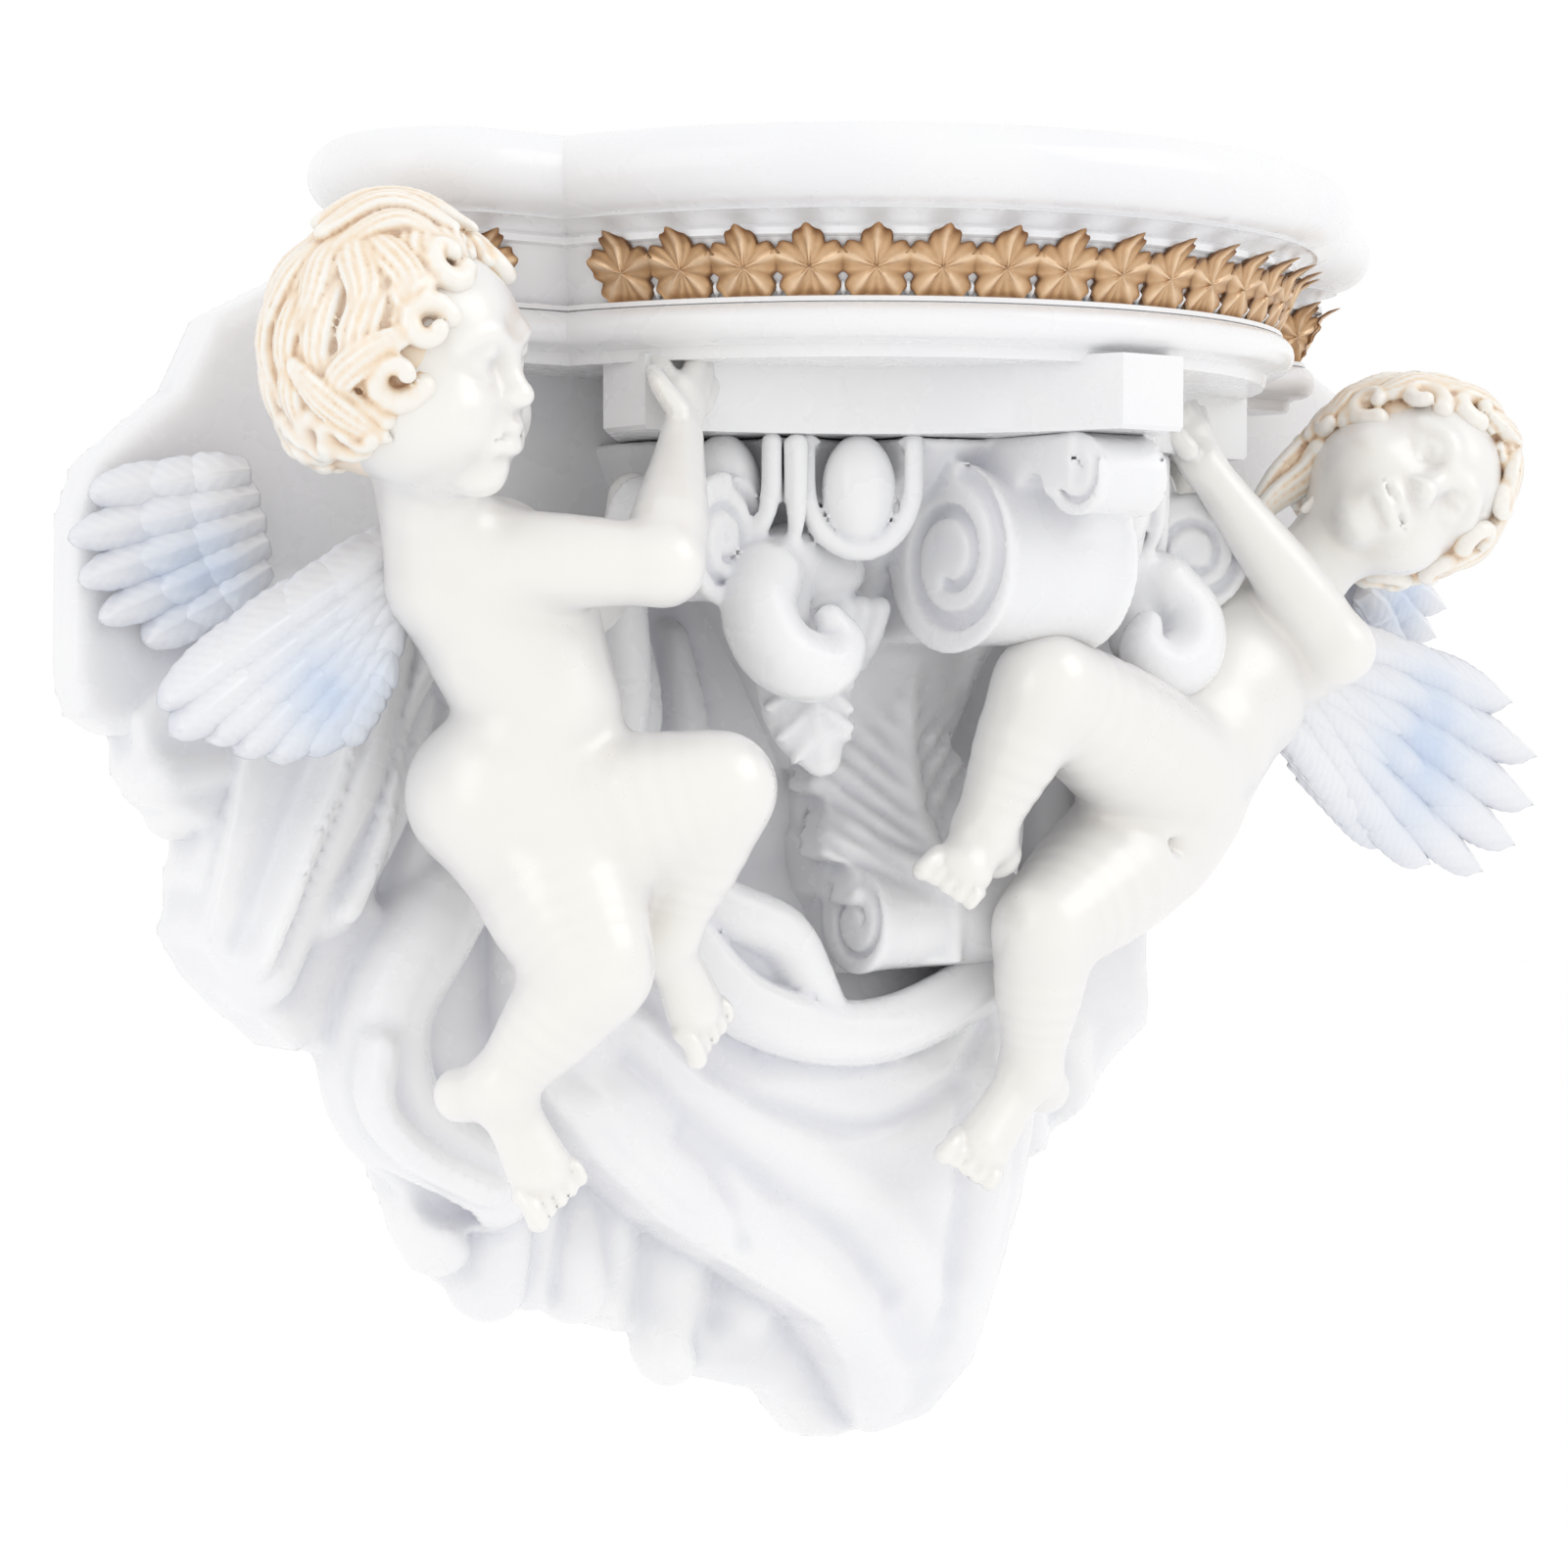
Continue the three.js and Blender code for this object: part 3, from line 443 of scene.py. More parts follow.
def wing_blue():
    """White pearl paint with a pale blue wash in the middle of the wing, and painted shade along the barbs
    and towards the feather edges.
    """
    material, tree, shader = new_material("wing_blue", (0.84, 0.87, 0.9), 0.3, 0.1, 0.4, 0.12)
    wash = washed(tree, "wash",
                  [(0.1, (0.88, 0.88, 0.89)), (0.5, (0.79, 0.83, 0.89)), (0.95, (0.64, 0.73, 0.87))])
    # painted shade from each feather's shade values: darker along the barbs and towards its edges
    shade = washed(tree, "hollow", [(0.0, FULL), (1.0, (0.78, 0.8, 0.86))])
    patch = clouded(tree, 45.0, 2.0, [(0.38, BLACK), (0.62, FULL)])
    pale = mixed(tree, 0.45, wash, (0.9, 0.9, 0.9))
    painted = mixed(tree, patch, pale, wash)
    tree.links.new(mixed(tree, 1.0, painted, shade, "MULTIPLY"), shader.inputs["Base Color"])
    bumped(tree, shader, noise(tree, 420.0, 3.0), 0.2, 0.0003)
    return material


def gold_leaf():
    """Bronze-gold paint with painted shade: dark in the hollows of the leaves, lighter on their ribs."""
    material, tree, shader = new_material("gold_leaf", (0.62, 0.42, 0.24), 0.34, 0.75)
    # painted shade: the hollow value darkens the gold towards brown-black in hollows and lightens it on the
    # ribs
    body = washed(tree, "hollow",
                  [(0.15, (0.86, 0.64, 0.43)), (0.55, (0.58, 0.36, 0.19)), (0.95, (0.26, 0.13, 0.06))])
    patch = clouded(tree, 300.0, 3.0, [(0.3, (0.85, 0.82, 0.8)), (0.7, FULL)])
    tree.links.new(mixed(tree, 1.0, body, patch, "MULTIPLY"), shader.inputs["Base Color"])
    vary_gloss(tree, shader, 200.0, 3.0, (0.3, 0.28), (0.7, 0.46))
    bumped(tree, shader, noise(tree, 700.0, 3.0), 0.25, 0.0003)
    return material


WHITE = gloss_white()
SKIN = pearl_skin()
HAIR = peach_hair()
WING = wing_blue()
GOLD = gold_leaf()


# Shelf board
EAR_STEPS = 20
BULGE_STEPS = 45
ABACUS_STEPS = 24
ABACUS_CENTRE = np.array([0.0, -62.0])
CREASE_ANGLE = 38
EVEN_SHADE = 0.4


def shelf_plan(inset):
    """Outline at an inset from the left wall corner round the front to the right one."""
    ear, bulge = EAR_RADIUS - inset, BULGE_RADIUS - inset
    cusp_y = EAR_CENTRE[1] - ear
    cusp_x = -math.sqrt(bulge**2 - (cusp_y - BULGE_CENTRE_Y) ** 2)
    half = [(-EAR_CENTRE[0] - math.sqrt(max(0.0, ear**2 - EAR_CENTRE[1] ** 2)), 0.0)]
    for i in range(EAR_STEPS + 1):
        angle = -math.pi * 1.15 + math.pi * 0.65 * i / EAR_STEPS
        half.append((-EAR_CENTRE[0] + ear * math.cos(angle), EAR_CENTRE[1] + ear * math.sin(angle)))
    start = math.atan2(cusp_y - BULGE_CENTRE_Y, cusp_x)
    for i in range(BULGE_STEPS + 1):
        angle = start + (-math.pi / 2 - start) * i / BULGE_STEPS
        half.append((bulge * math.cos(angle), BULGE_CENTRE_Y + bulge * math.sin(angle)))
    return half + [(-x, y) for x, y in half[-2::-1]]


def arc(centre, radius, start, end, steps):
    """Points of an arc in inset and height, angles in degrees."""
    angles = [math.radians(start + (end - start) * i / steps) for i in range(steps + 1)]
    return [(centre[0] + radius[0] * math.cos(a), centre[1] + radius[1] * math.sin(a)) for a in angles]


def shelf_profile():
    """Inset and height down the edge: bullnose, fillet, cove, leaf band, torus and lower fillet."""
    rim_half = RIM_DEPTH / 2
    profile = arc((12.0, SHELF_TOP - rim_half), (-12.0, rim_half), 90, -62, 14)
    profile += [(10.6, SHELF_TOP - RIM_DEPTH), (10.4, SHELF_TOP - RIM_DEPTH - 0.8)]
    profile += arc((10.6, BAND_TOP + 2.6), (6.0, 4.2), 90, 12, 6)
    profile += [(15.0, BAND_TOP + 2.4), (15.0, BAND_TOP + 0.6), (BAND_TOP_INSET, BAND_TOP)]
    profile += [(BAND_BOTTOM_INSET, BAND_BOTTOM), (20.5, BAND_BOTTOM - 0.7), (20.2, BAND_BOTTOM - 2.0)]
    torus = (TORUS_INSET + TORUS_RADIUS, BAND_BOTTOM - 7.0)
    profile += arc(torus, (-TORUS_RADIUS, TORUS_RADIUS), 80, -70, 10)
    profile += [(23.2, BAND_BOTTOM - 12.2), (FILLET_INSET - 1.0, BAND_BOTTOM - 13.0)]
    profile += [(FILLET_INSET - 0.6, SHELF_BOTTOM + 1.0), (FILLET_INSET, SHELF_BOTTOM)]
    return profile


def abacus_plan(inset):
    """Outline of the hollow-sided block with its cut-off corners."""
    side = np.array([-ABACUS_SIDE[0], ABACUS_SIDE[1]])
    front = np.array([-ABACUS_FRONT[0], ABACUS_FRONT[1]])
    across = unit([front[1] - side[1], side[0] - front[0]])
    half = [(-ABACUS_BACK_HALF, 0.0), (-ABACUS_SIDE[0], ABACUS_SIDE[1] + 20.0)]
    for i in range(ABACUS_STEPS + 1):
        share = i / ABACUS_STEPS
        point = side + (front - side) * share - across * ABACUS_HOLLOW * 4 * share * (1 - share)
        half.append(tuple(point))
    plan = np.array(half + [(-x, y) for x, y in half[::-1]])
    away = np.linalg.norm(plan - ABACUS_CENTRE, axis=1)[:, None]
    plan = ABACUS_CENTRE + (plan - ABACUS_CENTRE) * (1 - inset / away)
    plan[:, 1] = np.minimum(plan[:, 1], 0)
    return plan


def rings_piece(rings):
    """Closed skin over a stack of equal rings, with both ends filled."""
    columns = len(rings[0])
    faces = grid_faces(len(rings), columns, True)
    points = [point for ring in rings for point in ring]
    faces.append(tuple(range(columns))[::-1])
    faces.append(tuple(range(len(points) - columns, len(points))))
    return points, faces


def join_parts(parts):
    """One list of points and one of faces from several of each."""
    points, faces = [], []
    for part_points, part_faces in parts:
        start = len(points)
        points.extend(part_points)
        faces.extend(tuple(i + start for i in face) for face in part_faces)
    return points, faces


def make_shelf():
    board = [[(x, y, z) for x, y in shelf_plan(inset)] for inset, z in shelf_profile()[::-1]]
    levels = [(1.2, ABACUS_BOTTOM), (0.0, ABACUS_BOTTOM + 1.2), (0.0, SHELF_BOTTOM + 2)]
    slab = [[(x, y, z) for x, y in abacus_plan(inset)] for inset, z in levels]
    points, faces = join_parts([rings_piece(board), rings_piece(slab)])
    calm = {"hollow": np.full(len(points), EVEN_SHADE)}
    make_piece("shelf_mouldings", points, faces, WHITE, "gloss_white", ("shelf",), calm, CREASE_ANGLE)


make_shelf()


# Children
HEAD_SCALE = 0.94


class Head:
    """Frame of a head: places are given as (side, up, forward) from the middle of the skull."""

    def __init__(self, centre, up, face):
        self.centre = np.array(centre, float)
        self.up = unit(up)
        self.side = unit(np.cross(self.up, face))
        self.face = np.cross(self.side, self.up)
        self.axes = np.array([self.side, self.up, self.face])

    def at(self, *places):
        spots = self.centre + HEAD_SCALE * np.array(places, float) @ self.axes
        return spots if len(places) > 1 else spots[0]

    def egg(self, place, radii):
        return egg(self.at(place), HEAD_SCALE * np.array(radii, float), self.axes)

    def rope(self, places, radii, **options):
        return rope(self.at(*places), HEAD_SCALE * np.array(radii, float), **options)


def press_head(clay, head):
    """Skull, cheeks and features; each side of the face has the same forms."""
    clay.add(head.egg((0, 5, -3), (30, 32, 33)))
    clay.add(head.egg((0, -11, 8), (25.5, 23, 23)), 8)
    clay.add(head.egg((0, 10, 16), (20, 15, 15)), 8)
    for side in (-1, 1):
        clay.add(head.egg((side * 13, -14, 18), (11.5, 10.5, 11)), 7)
        clay.cut(head.egg((side * 11, 0.5, 33.4), (7.4, 5.0, 6.6)), 4)
        clay.add(head.egg((side * 10.8, -0.2, 24.6), (6.4, 5.0, 5.2)), 1.0)
        upper_lid = [(side * 4.8, -0.6, 27.6), (side * 10, 3.0, 30.2), (side * 16.2, -0.2, 25.4)]
        clay.add(head.rope(upper_lid, (0.9, 1.5, 0.9)), 0.7)
        lower_lid = [(side * 5, -1.4, 27.6), (side * 10.4, -4.0, 29.2), (side * 15.8, -1.2, 25.4)]
        clay.add(head.rope(lower_lid, (0.8, 1.1, 0.7)), 0.9)
        brow = [(side * 3.5, 5.0, 31.0), (side * 10, 8.2, 30.6), (side * 18, 5.0, 25.0)]
        clay.add(head.rope(brow, (1.6, 2.0, 1.2)), 5)
        ear = [(side * 27.5, 1.5, -4), (side * 30.5, 4.0, -7),
               (side * 31.0, -2.0, -10), (side * 28.5, -8.0, -5)]
        clay.add(head.rope(ear, (1.8, 2.2, 2.2, 2.4)), 1.5)
        clay.add(head.egg((side * 3.4, -9.8, 31.8), (2.3, 2.0, 2.6)), 2)
        clay.cut(head.egg((side * 1.9, -11.9, 33.6), (1.0, 0.9, 1.4)), 0.8)
    nose_bridge = [(0, 3.5, 29.5), (0, -3, 31.6), (0, -8.0, 34.0)]
    clay.add(head.rope(nose_bridge, (2.6, 2.8, 3.1)), 4)
    clay.add(head.egg((0, -8.8, 34.4), (3.0, 2.7, 2.8)), 2)
    clay.add(head.egg((0, -20, 27), (9, 7.5, 6.5)), 4)
    clay.cut(head.rope([(-8.5, -18.6, 28), (0, -19.2, 34.4), (8.5, -18.6, 28)], (0.8, 1.3, 0.8)), 1.2)
    upper_lip = [(-7, -18.0, 28.6), (-2.2, -16.6, 31.8), (0, -17.4, 32.0),
                 (2.2, -16.6, 31.8), (7, -18.0, 28.6)]
    clay.add(head.rope(upper_lip, (0.9, 1.7, 1.5, 1.7, 0.9)), 1)
    clay.add(head.rope([(-5.8, -20.8, 28.6), (0, -22.2, 30.8), (5.8, -20.8, 28.6)], (1.0, 2.2, 1.0)), 1)
    clay.cut(head.rope([(-4.5, -25.8, 29.4), (0, -26.2, 30.4), (4.5, -25.8, 29.4)], 1.2), 3)
    clay.add(head.egg((0, -30.0, 21.4), (7.4, 5.2, 6.4)), 5)


# Limbs: stations along each between its joints, radii from joint to joint, and blend.
UPPER_ARM = ((0.45, 0.85), (12.5, 12.2, 10.6, 10.2), 6)
FOREARM = ((0.3, 0.75), (9.8, 10.6, 7.6, 6.0), 4)
THIGH = ((0.4, 0.8), (22.0, 21.0, 17.5, 14.8), 7)
SHIN = ((0.35, 0.75), (13.2, 13.6, 10.4, 8.4), 5)
HIDDEN_ARM_RADII = (11, 10, 8, 7)
NECK_RADII = (12.5, 14.5)


def press_limb(clay, start, end, stations, radii, blend):
    """Round limb between two joints, with its radii at stations along it."""
    start, end = np.array(start, float), np.array(end, float)
    inner = [start + (end - start) * share for share in stations]
    clay.add(rope([start, *inner, end], radii), blend)


def press_hand(clay, wrist, palm, fingers, facing):
    """Flat palm and five fingers, each a short path with its own radii."""
    clay.add(rope([wrist, palm], (6.0, 8.2), flat=0.62, facing=facing), 4)
    for path in fingers:
        clay.add(rope(path, np.linspace(3.5, 2.4, len(path))), 1.0)


TOE_LENGTHS = (8.0, 7.0, 6.4, 5.6, 4.6)
TOE_PITCH = 4.0
TOE_SPREAD = 7.8


def press_foot(clay, ankle, heel, ball, toes, facing):
    """Heel, flat sole and five toes spread across the ball of the foot."""
    ankle, heel, ball, toes = (np.array(p, float) for p in (ankle, heel, ball, toes))
    clay.add(rope([ankle, heel], (8.2, 7.4)), 5)
    clay.add(rope([ankle, (ankle + ball) / 2, ball], (8.0, 7.8, 9.0), flat=0.72, facing=facing), 4)
    along = unit(toes - ball)
    across = unit(np.cross(along, facing))
    for i, length in enumerate(TOE_LENGTHS):
        root = ball + across * (TOE_SPREAD - i * TOE_PITCH) + along * 3.5
        tip = root + along * length
        bend = (root + tip) / 2 + unit(facing) * 1.4
        clay.add(rope([root, bend, tip], (2.9, 2.7, 3.1) if i == 0 else (2.2, 2.0, 2.3)), 0.6)


def turned(along, facing):
    """Axes whose first row runs along a direction and third row as near as can be to another."""
    along = unit(along)
    side = unit(np.cross(facing, along))
    return np.array([along, side, np.cross(along, side)])


# Masses of a body: centre, radii, its directions and the blend. Creases: path, radius and blend.
# Arms, legs: their joints. Hands: wrist, palm, finger paths, facing. Feet: ankle, heel, ball, toes, facing.
LEFT_CHILD = {
    "head": Head((-197, -88, 80), (-0.08, -0.05, 1), (0.55, -0.84, -0.1)),
    "neck": [(-190, -84, 58), (-180, -76, 42)],
    "masses": [
        ((-166, -71, 30), (19, 25, 19), ((-0.35, 0, 1), FRONT), 8),
        ((-155, -73, 14), (24, 25, 20), ((-0.25, 0, 1), FRONT), 8),
        ((-148, -76, -8), (25, 22, 20), ((0, 0, 1), FRONT), 8),
        ((-154, -74, -30), (24, 26, 22), ((0.1, 0, 1), FRONT), 6),
        ((-166, -68, -28), (19, 15, 19), ((0.1, 0, 1), FRONT), 5),
    ],
    "creases": [
        ([(-178, -84, 3), (-168, -98, -4), (-154, -102, -14)], 1.4, 5),
    ],
    "arms": [((-168, -82, 33), (-132, -109, 31), (-110, -86, 65))],
    "hidden_arm": [(-146, -58, 30), (-122, -50, 20), (-102, -46, 34), (-98, -46, 52)],
    "hands": [((-110, -86, 65), (-104, -80, 76), [
        [(-107, -80, 79), (-108, -75, 85), (-107, -70, 91)],
        [(-103, -80, 81), (-98, -76, 88), (-93, -68, 88)],
        [(-100, -79, 79), (-94, -74, 86), (-88, -66, 86)],
        [(-97, -77, 76), (-91, -73, 82), (-86, -66, 82)],
        [(-111, -86, 73), (-114, -82, 80), (-112, -76, 84)],
    ], (0.6, -0.8, 0.1))],
    "legs": [
        ((-150, -80, -44), (-146, -98, -73), (-162, -80, -102)),
        ((-142, -80, -38), (-113, -107, -27), (-118, -91, -64)),
    ],
    "feet": [
        ((-163, -79, -105), (-168, -68, -107), (-153, -82, -126), (-149, -85, -134), (-0.3, -0.9, 0.3)),
        ((-118, -90, -66), (-121, -83, -69), (-106, -86, -86), (-102, -87, -93), (0.0, -0.9, 0.3)),
    ],
}
RIGHT_CHILD = {
    "head": Head((167, -82, 63), (0.84, -0.28, 0.44), (-0.40, -0.87, -0.06)),
    "neck": [(148, -77, 48), (130, -71, 28)],
    "masses": [
        ((122, -68, 14), (20, 26, 19), ((0.6, 0, 0.8), FRONT), 8),
        ((107, -71, 0), (24, 26, 21), ((0.7, 0, 0.7), FRONT), 8),
        ((90, -75, -14), (24, 24, 22), ((0.6, 0, 0.8), FRONT), 8),
        ((80, -72, -30), (23, 26, 22), ((0.5, 0, 0.85), FRONT), 6),
        ((86, -66, -40), (20, 18, 19), ((0.5, 0, 0.85), FRONT), 5),
    ],
    "creases": [
        ([(68, -97, 0), (84, -104, -8), (98, -102, -12)], 1.2, 5),
        ([(60, -90, -46), (70, -97, -50), (84, -95, -54)], 1.2, 5),
    ],
    "arms": [((134, -74, 8), (130, -94, 11), (84, -82, 66))],
    "hidden_arm": [(112, -52, 26), (104, -46, 40), (104, -46, 56), (106, -48, 66)],
    "hands": [((84, -82, 66), (81, -78, 75), [
        [(77, -78, 79), (76, -74, 86), (77, -68, 90)],
        [(80, -78, 81), (80, -73, 88), (81, -67, 92)],
        [(84, -77, 81), (85, -72, 88), (86, -66, 91)],
        [(88, -76, 79), (90, -71, 86), (91, -66, 89)],
        [(76, -84, 70), (72, -82, 76), (71, -77, 81)],
    ], (-0.2, -0.9, -0.3))],
    "legs": [
        ((72, -80, -26), (8, -98, 0), (-2, -83, -40)),
        ((72, -70, -46), (20, -84, -70), (24, -74, -110)),
    ],
    "feet": [
        ((-2, -83, -42), (5, -80, -48), (-11, -85, -51), (-17, -86, -55), (-0.3, -0.9, 0.4)),
        ((24, -73, -112), (35, -67, -119), (5, -74, -133), (-3, -76, -139), (-0.2, -0.9, 0.3)),
    ],
}


def make_skin(name, child, low, high, node):
    """Bare body of a child, from its masses, limbs, creases, hands, feet and head."""
    clay = Clay(low, high, SKIN_CELL)
    for centre, radii, axes, blend in child["masses"]:
        clay.add(egg(centre, radii, turned(*axes)), blend)
    for hip, knee, ankle in child["legs"]:
        press_limb(clay, hip, knee, *THIGH)
        press_limb(clay, knee, ankle, *SHIN)
    for shoulder, elbow, wrist in child["arms"]:
        press_limb(clay, shoulder, elbow, *UPPER_ARM)
        press_limb(clay, elbow, wrist, *FOREARM)
    clay.add(rope(child["hidden_arm"], HIDDEN_ARM_RADII), 5)
    clay.add(rope(child["neck"], NECK_RADII), 7)
    for path, radius, blend in child["creases"]:
        clay.cut(rope(path, radius), blend)
    for hand in child["hands"]:
        press_hand(clay, *hand)
    for foot in child["feet"]:
        press_foot(clay, *foot)
    press_head(clay, child["head"])
    make_clay_piece(name, clay, SKIN, "pearl_skin", (node,), hollow=(10, 2.4))


make_skin("left_child_skin", LEFT_CHILD, (-236, -136, -145), (-76, -36, 126), "left_angel")
make_skin("right_child_skin", RIGHT_CHILD, (-30, -132, -152), (222, -36, 104), "right_angel")


# Hair
SKULL = np.array([31.0, 34.0, 33.5])
HAIRLINE = ((0, 44), (35, 57), (55, 90), (75, 120), (95, 130), (130, 134), (180, 134))

SKULL_CENTRE = (0, 4.5, -2.5)
HAIR_CAP = ((0, 4.8, -4), (32.2, 34.6, 33.4))
FACE_OPENING = ((0, -15, 36), (25, 31, 29))
STRANDS = (-0.78, -0.28, 0.28, 0.78)
CURL_COUNT = 20
CURL_START = 36
CURL_STEPS = 10
CURL_TURNS = 0.86
CURL_THICK = 3.4
SHORTEST_LOCK = 14

# Rows of locks: how many, where they start and end down from the crown, half width and lift.
LOCK_ROWS = (
    (10, 3, 48, 5.4, 0.6),
    (14, 30, 80, 5.2, 1.0),
    (16, 58, 112, 4.8, 1.4),
    (15, 90, 134, 4.6, 1.4),
)


def on_skull(head, turn, polar, lift=0.0):
    """Place over the skull: turn goes round from the face and polar down from the crown, in degrees."""
    around, down = math.radians(turn), math.radians(polar)
    out = np.array([math.sin(down) * math.sin(around), math.cos(down), math.sin(down) * math.cos(around)])
    return head.at(out * (SKULL + lift) + SKULL_CENTRE)


def hair_end(turn):
    """How far down from the crown the hair reaches at each side of the face."""
    side = abs((turn + 180) % 360 - 180)
    return float(np.interp(side, *zip(*HAIRLINE)))


def lock(clay, spots, out, half):
    """Tapered lock through spots, flattened against the head, with four fine strands on it."""
    path = smooth_path(spots, 4)
    share = np.linspace(0, 1, len(path))
    girth = half * (0.3 + 0.7 * np.sin(math.pi * np.minimum(share * 0.86 + 0.14, 1)))
    clay.add(rope(path, girth, per_span=1, flat=0.62, facing=out), 0.8)
    across = np.cross(np.gradient(path, axis=0), out)
    across /= np.maximum(np.linalg.norm(across, axis=1), 1e-6)[:, None]
    for strand in STRANDS:
        rise = girth * 0.5 * math.sqrt(1 - strand**2)
        shifted = path + across * (strand * girth)[:, None] + out * rise[:, None]
        clay.add(rope(shifted, np.maximum(girth * 0.23, 0.6), per_span=1), 0.3)


def head_lock(clay, head, places, half, lift):
    """Lock laid over the skull through places given as turn and polar angle."""
    spots = np.array([on_skull(head, turn, polar, lift) for turn, polar in places])
    lock(clay, spots, unit(spots[len(spots) // 2] - head.centre), half)


def curl(clay, head, turn, polar, size, spin):
    """Open curl of hair standing on the skull, with a hollow in its middle."""
    path = []
    for i in range(CURL_STEPS + 1):
        share = i / CURL_STEPS
        angle = spin * (0.4 + share * CURL_TURNS * 2 * math.pi)
        radius = size * (1 - 0.62 * share)
        sideways = math.degrees(radius * math.cos(angle) / 31)
        down = math.degrees(radius * math.sin(angle) / 33)
        path.append(on_skull(head, turn + sideways, polar + down, 1.0 + 3.0 * share))
    clay.add(rope(path, np.linspace(CURL_THICK, CURL_THICK * 0.7, len(path)), per_span=1), 1.2)


def make_hair(name, child, seed):
    """Cap of hair with rows of locks from the crown, curls along the hairline and loose locks over both."""
    head = child["head"]
    random = np.random.default_rng(seed)
    clay = Clay(head.centre - 52, head.centre + 48, HAIR_CELL)
    clay.add(head.egg(*HAIR_CAP))
    clay.cut(head.egg(*FACE_OPENING), 3)
    for row, (count, top, reach, half, lift) in enumerate(LOCK_ROWS):
        for i in range(count):
            turn = 360 * (i + 0.5 * (row % 2)) / count + random.uniform(-4, 4)
            end = min(reach, hair_end(turn))
            bend = random.uniform(7, 14) * (1 if turn < 180 else -1)
            if end - top < SHORTEST_LOCK:
                continue
            places = [(turn + bend * part, top + (end - top) * share)
                      for part, share in ((0, 0), (0.7, 0.33), (1.0, 0.68), (0.2, 1.0))]
            head_lock(clay, head, places, half, lift)
    for i in range(CURL_COUNT):
        turn = CURL_START + (360 - 2 * CURL_START) * i / (CURL_COUNT - 1) + random.uniform(-3, 3)
        spin = 1 if i % 2 else -1
        curl(clay, head, turn, hair_end(turn) + random.uniform(-6, 3), random.uniform(6.0, 7.5), spin)
    for places, half, lift in child["tuft"]:
        head_lock(clay, head, places, half, lift)
    for spots, half in child["long_locks"]:
        lock(clay, np.array(spots, float), FRONT, half)
    make_clay_piece(name, clay, HAIR, "peach_hair", (), hollow=(8, 0.9))


# Loose locks: places on the skull, half width and lift. Long locks: places in space and half width.
LEFT_CHILD["tuft"] = [
    ([(-112, 36), (-88, 18), (-34, 18), (-14, 36)], 5.4, 5.0),
    ([(-128, 30), (-120, 10), (10, 14), (6, 38)], 5.4, 5.6),
    ([(-96, 44), (-72, 30), (-44, 30), (-28, 46)], 4.6, 3.4),
    ([(170, 26), (100, 12), (34, 20), (26, 44)], 5.0, 4.0),
    ([(-150, 24), (-178, 6), (60, 20), (44, 46)], 4.6, 3.0),
    ([(-84, 34), (-66, 48), (-56, 64), (-64, 80)], 4.6, 2.2),
    ([(-92, 34), (-84, 50), (-78, 68), (-88, 84)], 4.6, 2.4),
    ([(-102, 36), (-104, 52), (-104, 70), (-116, 86)], 4.6, 2.4),
    ([(-114, 38), (-124, 54), (-130, 72), (-144, 86)], 4.6, 2.4),
    ([(-60, 84), (-76, 92), (-90, 104), (-78, 116)], 4.2, 3.0),
    ([(-110, 96), (-98, 108), (-84, 120), (-70, 128)], 4.4, 3.6),
]
LEFT_CHILD["long_locks"] = []
RIGHT_CHILD["tuft"] = [
    ([(20, 20), (4, 30), (-14, 42), (-30, 50)], 4.8, 3.6),
    ([(30, 30), (22, 44), (34, 58), (44, 66)], 4.6, 3.4),
    ([(-20, 24), (-36, 38), (-48, 54), (-56, 70)], 4.8, 3.2),
    ([(-50, 60), (-62, 74), (-64, 90), (-74, 104)], 4.6, 3.2),
    ([(52, 62), (64, 78), (62, 94), (74, 106)], 4.6, 3.2),
    ([(-78, 84), (-86, 100), (-84, 114), (-96, 122)], 4.4, 3.2),
]
RIGHT_CHILD["long_locks"] = [
    ([(164, -74, 92), (150, -73, 80), (140, -70, 66), (126, -67, 56), (119, -63, 43)], 5.2),
    ([(158, -68, 90), (146, -66, 76), (132, -64, 64), (122, -60, 50)], 5.0),
    ([(166, -80, 84), (152, -82, 74), (144, -79, 62), (132, -76, 54)], 4.4),
]
make_hair("left_child_hair", LEFT_CHILD, 11)
make_hair("right_child_hair", RIGHT_CHILD, 23)


# Wings
FEATHER_ROWS = 34
FEATHER_COLUMNS = 15
BARB_PITCH = 4.0
BARB_HEIGHT = 0.13
QUILL_HEIGHT = 0.9
CAMBER = 4.2
FEATHER_BACK = 1.2
FEATHER_BOW = 3.0
TIP_CURVE_STEPS = 12


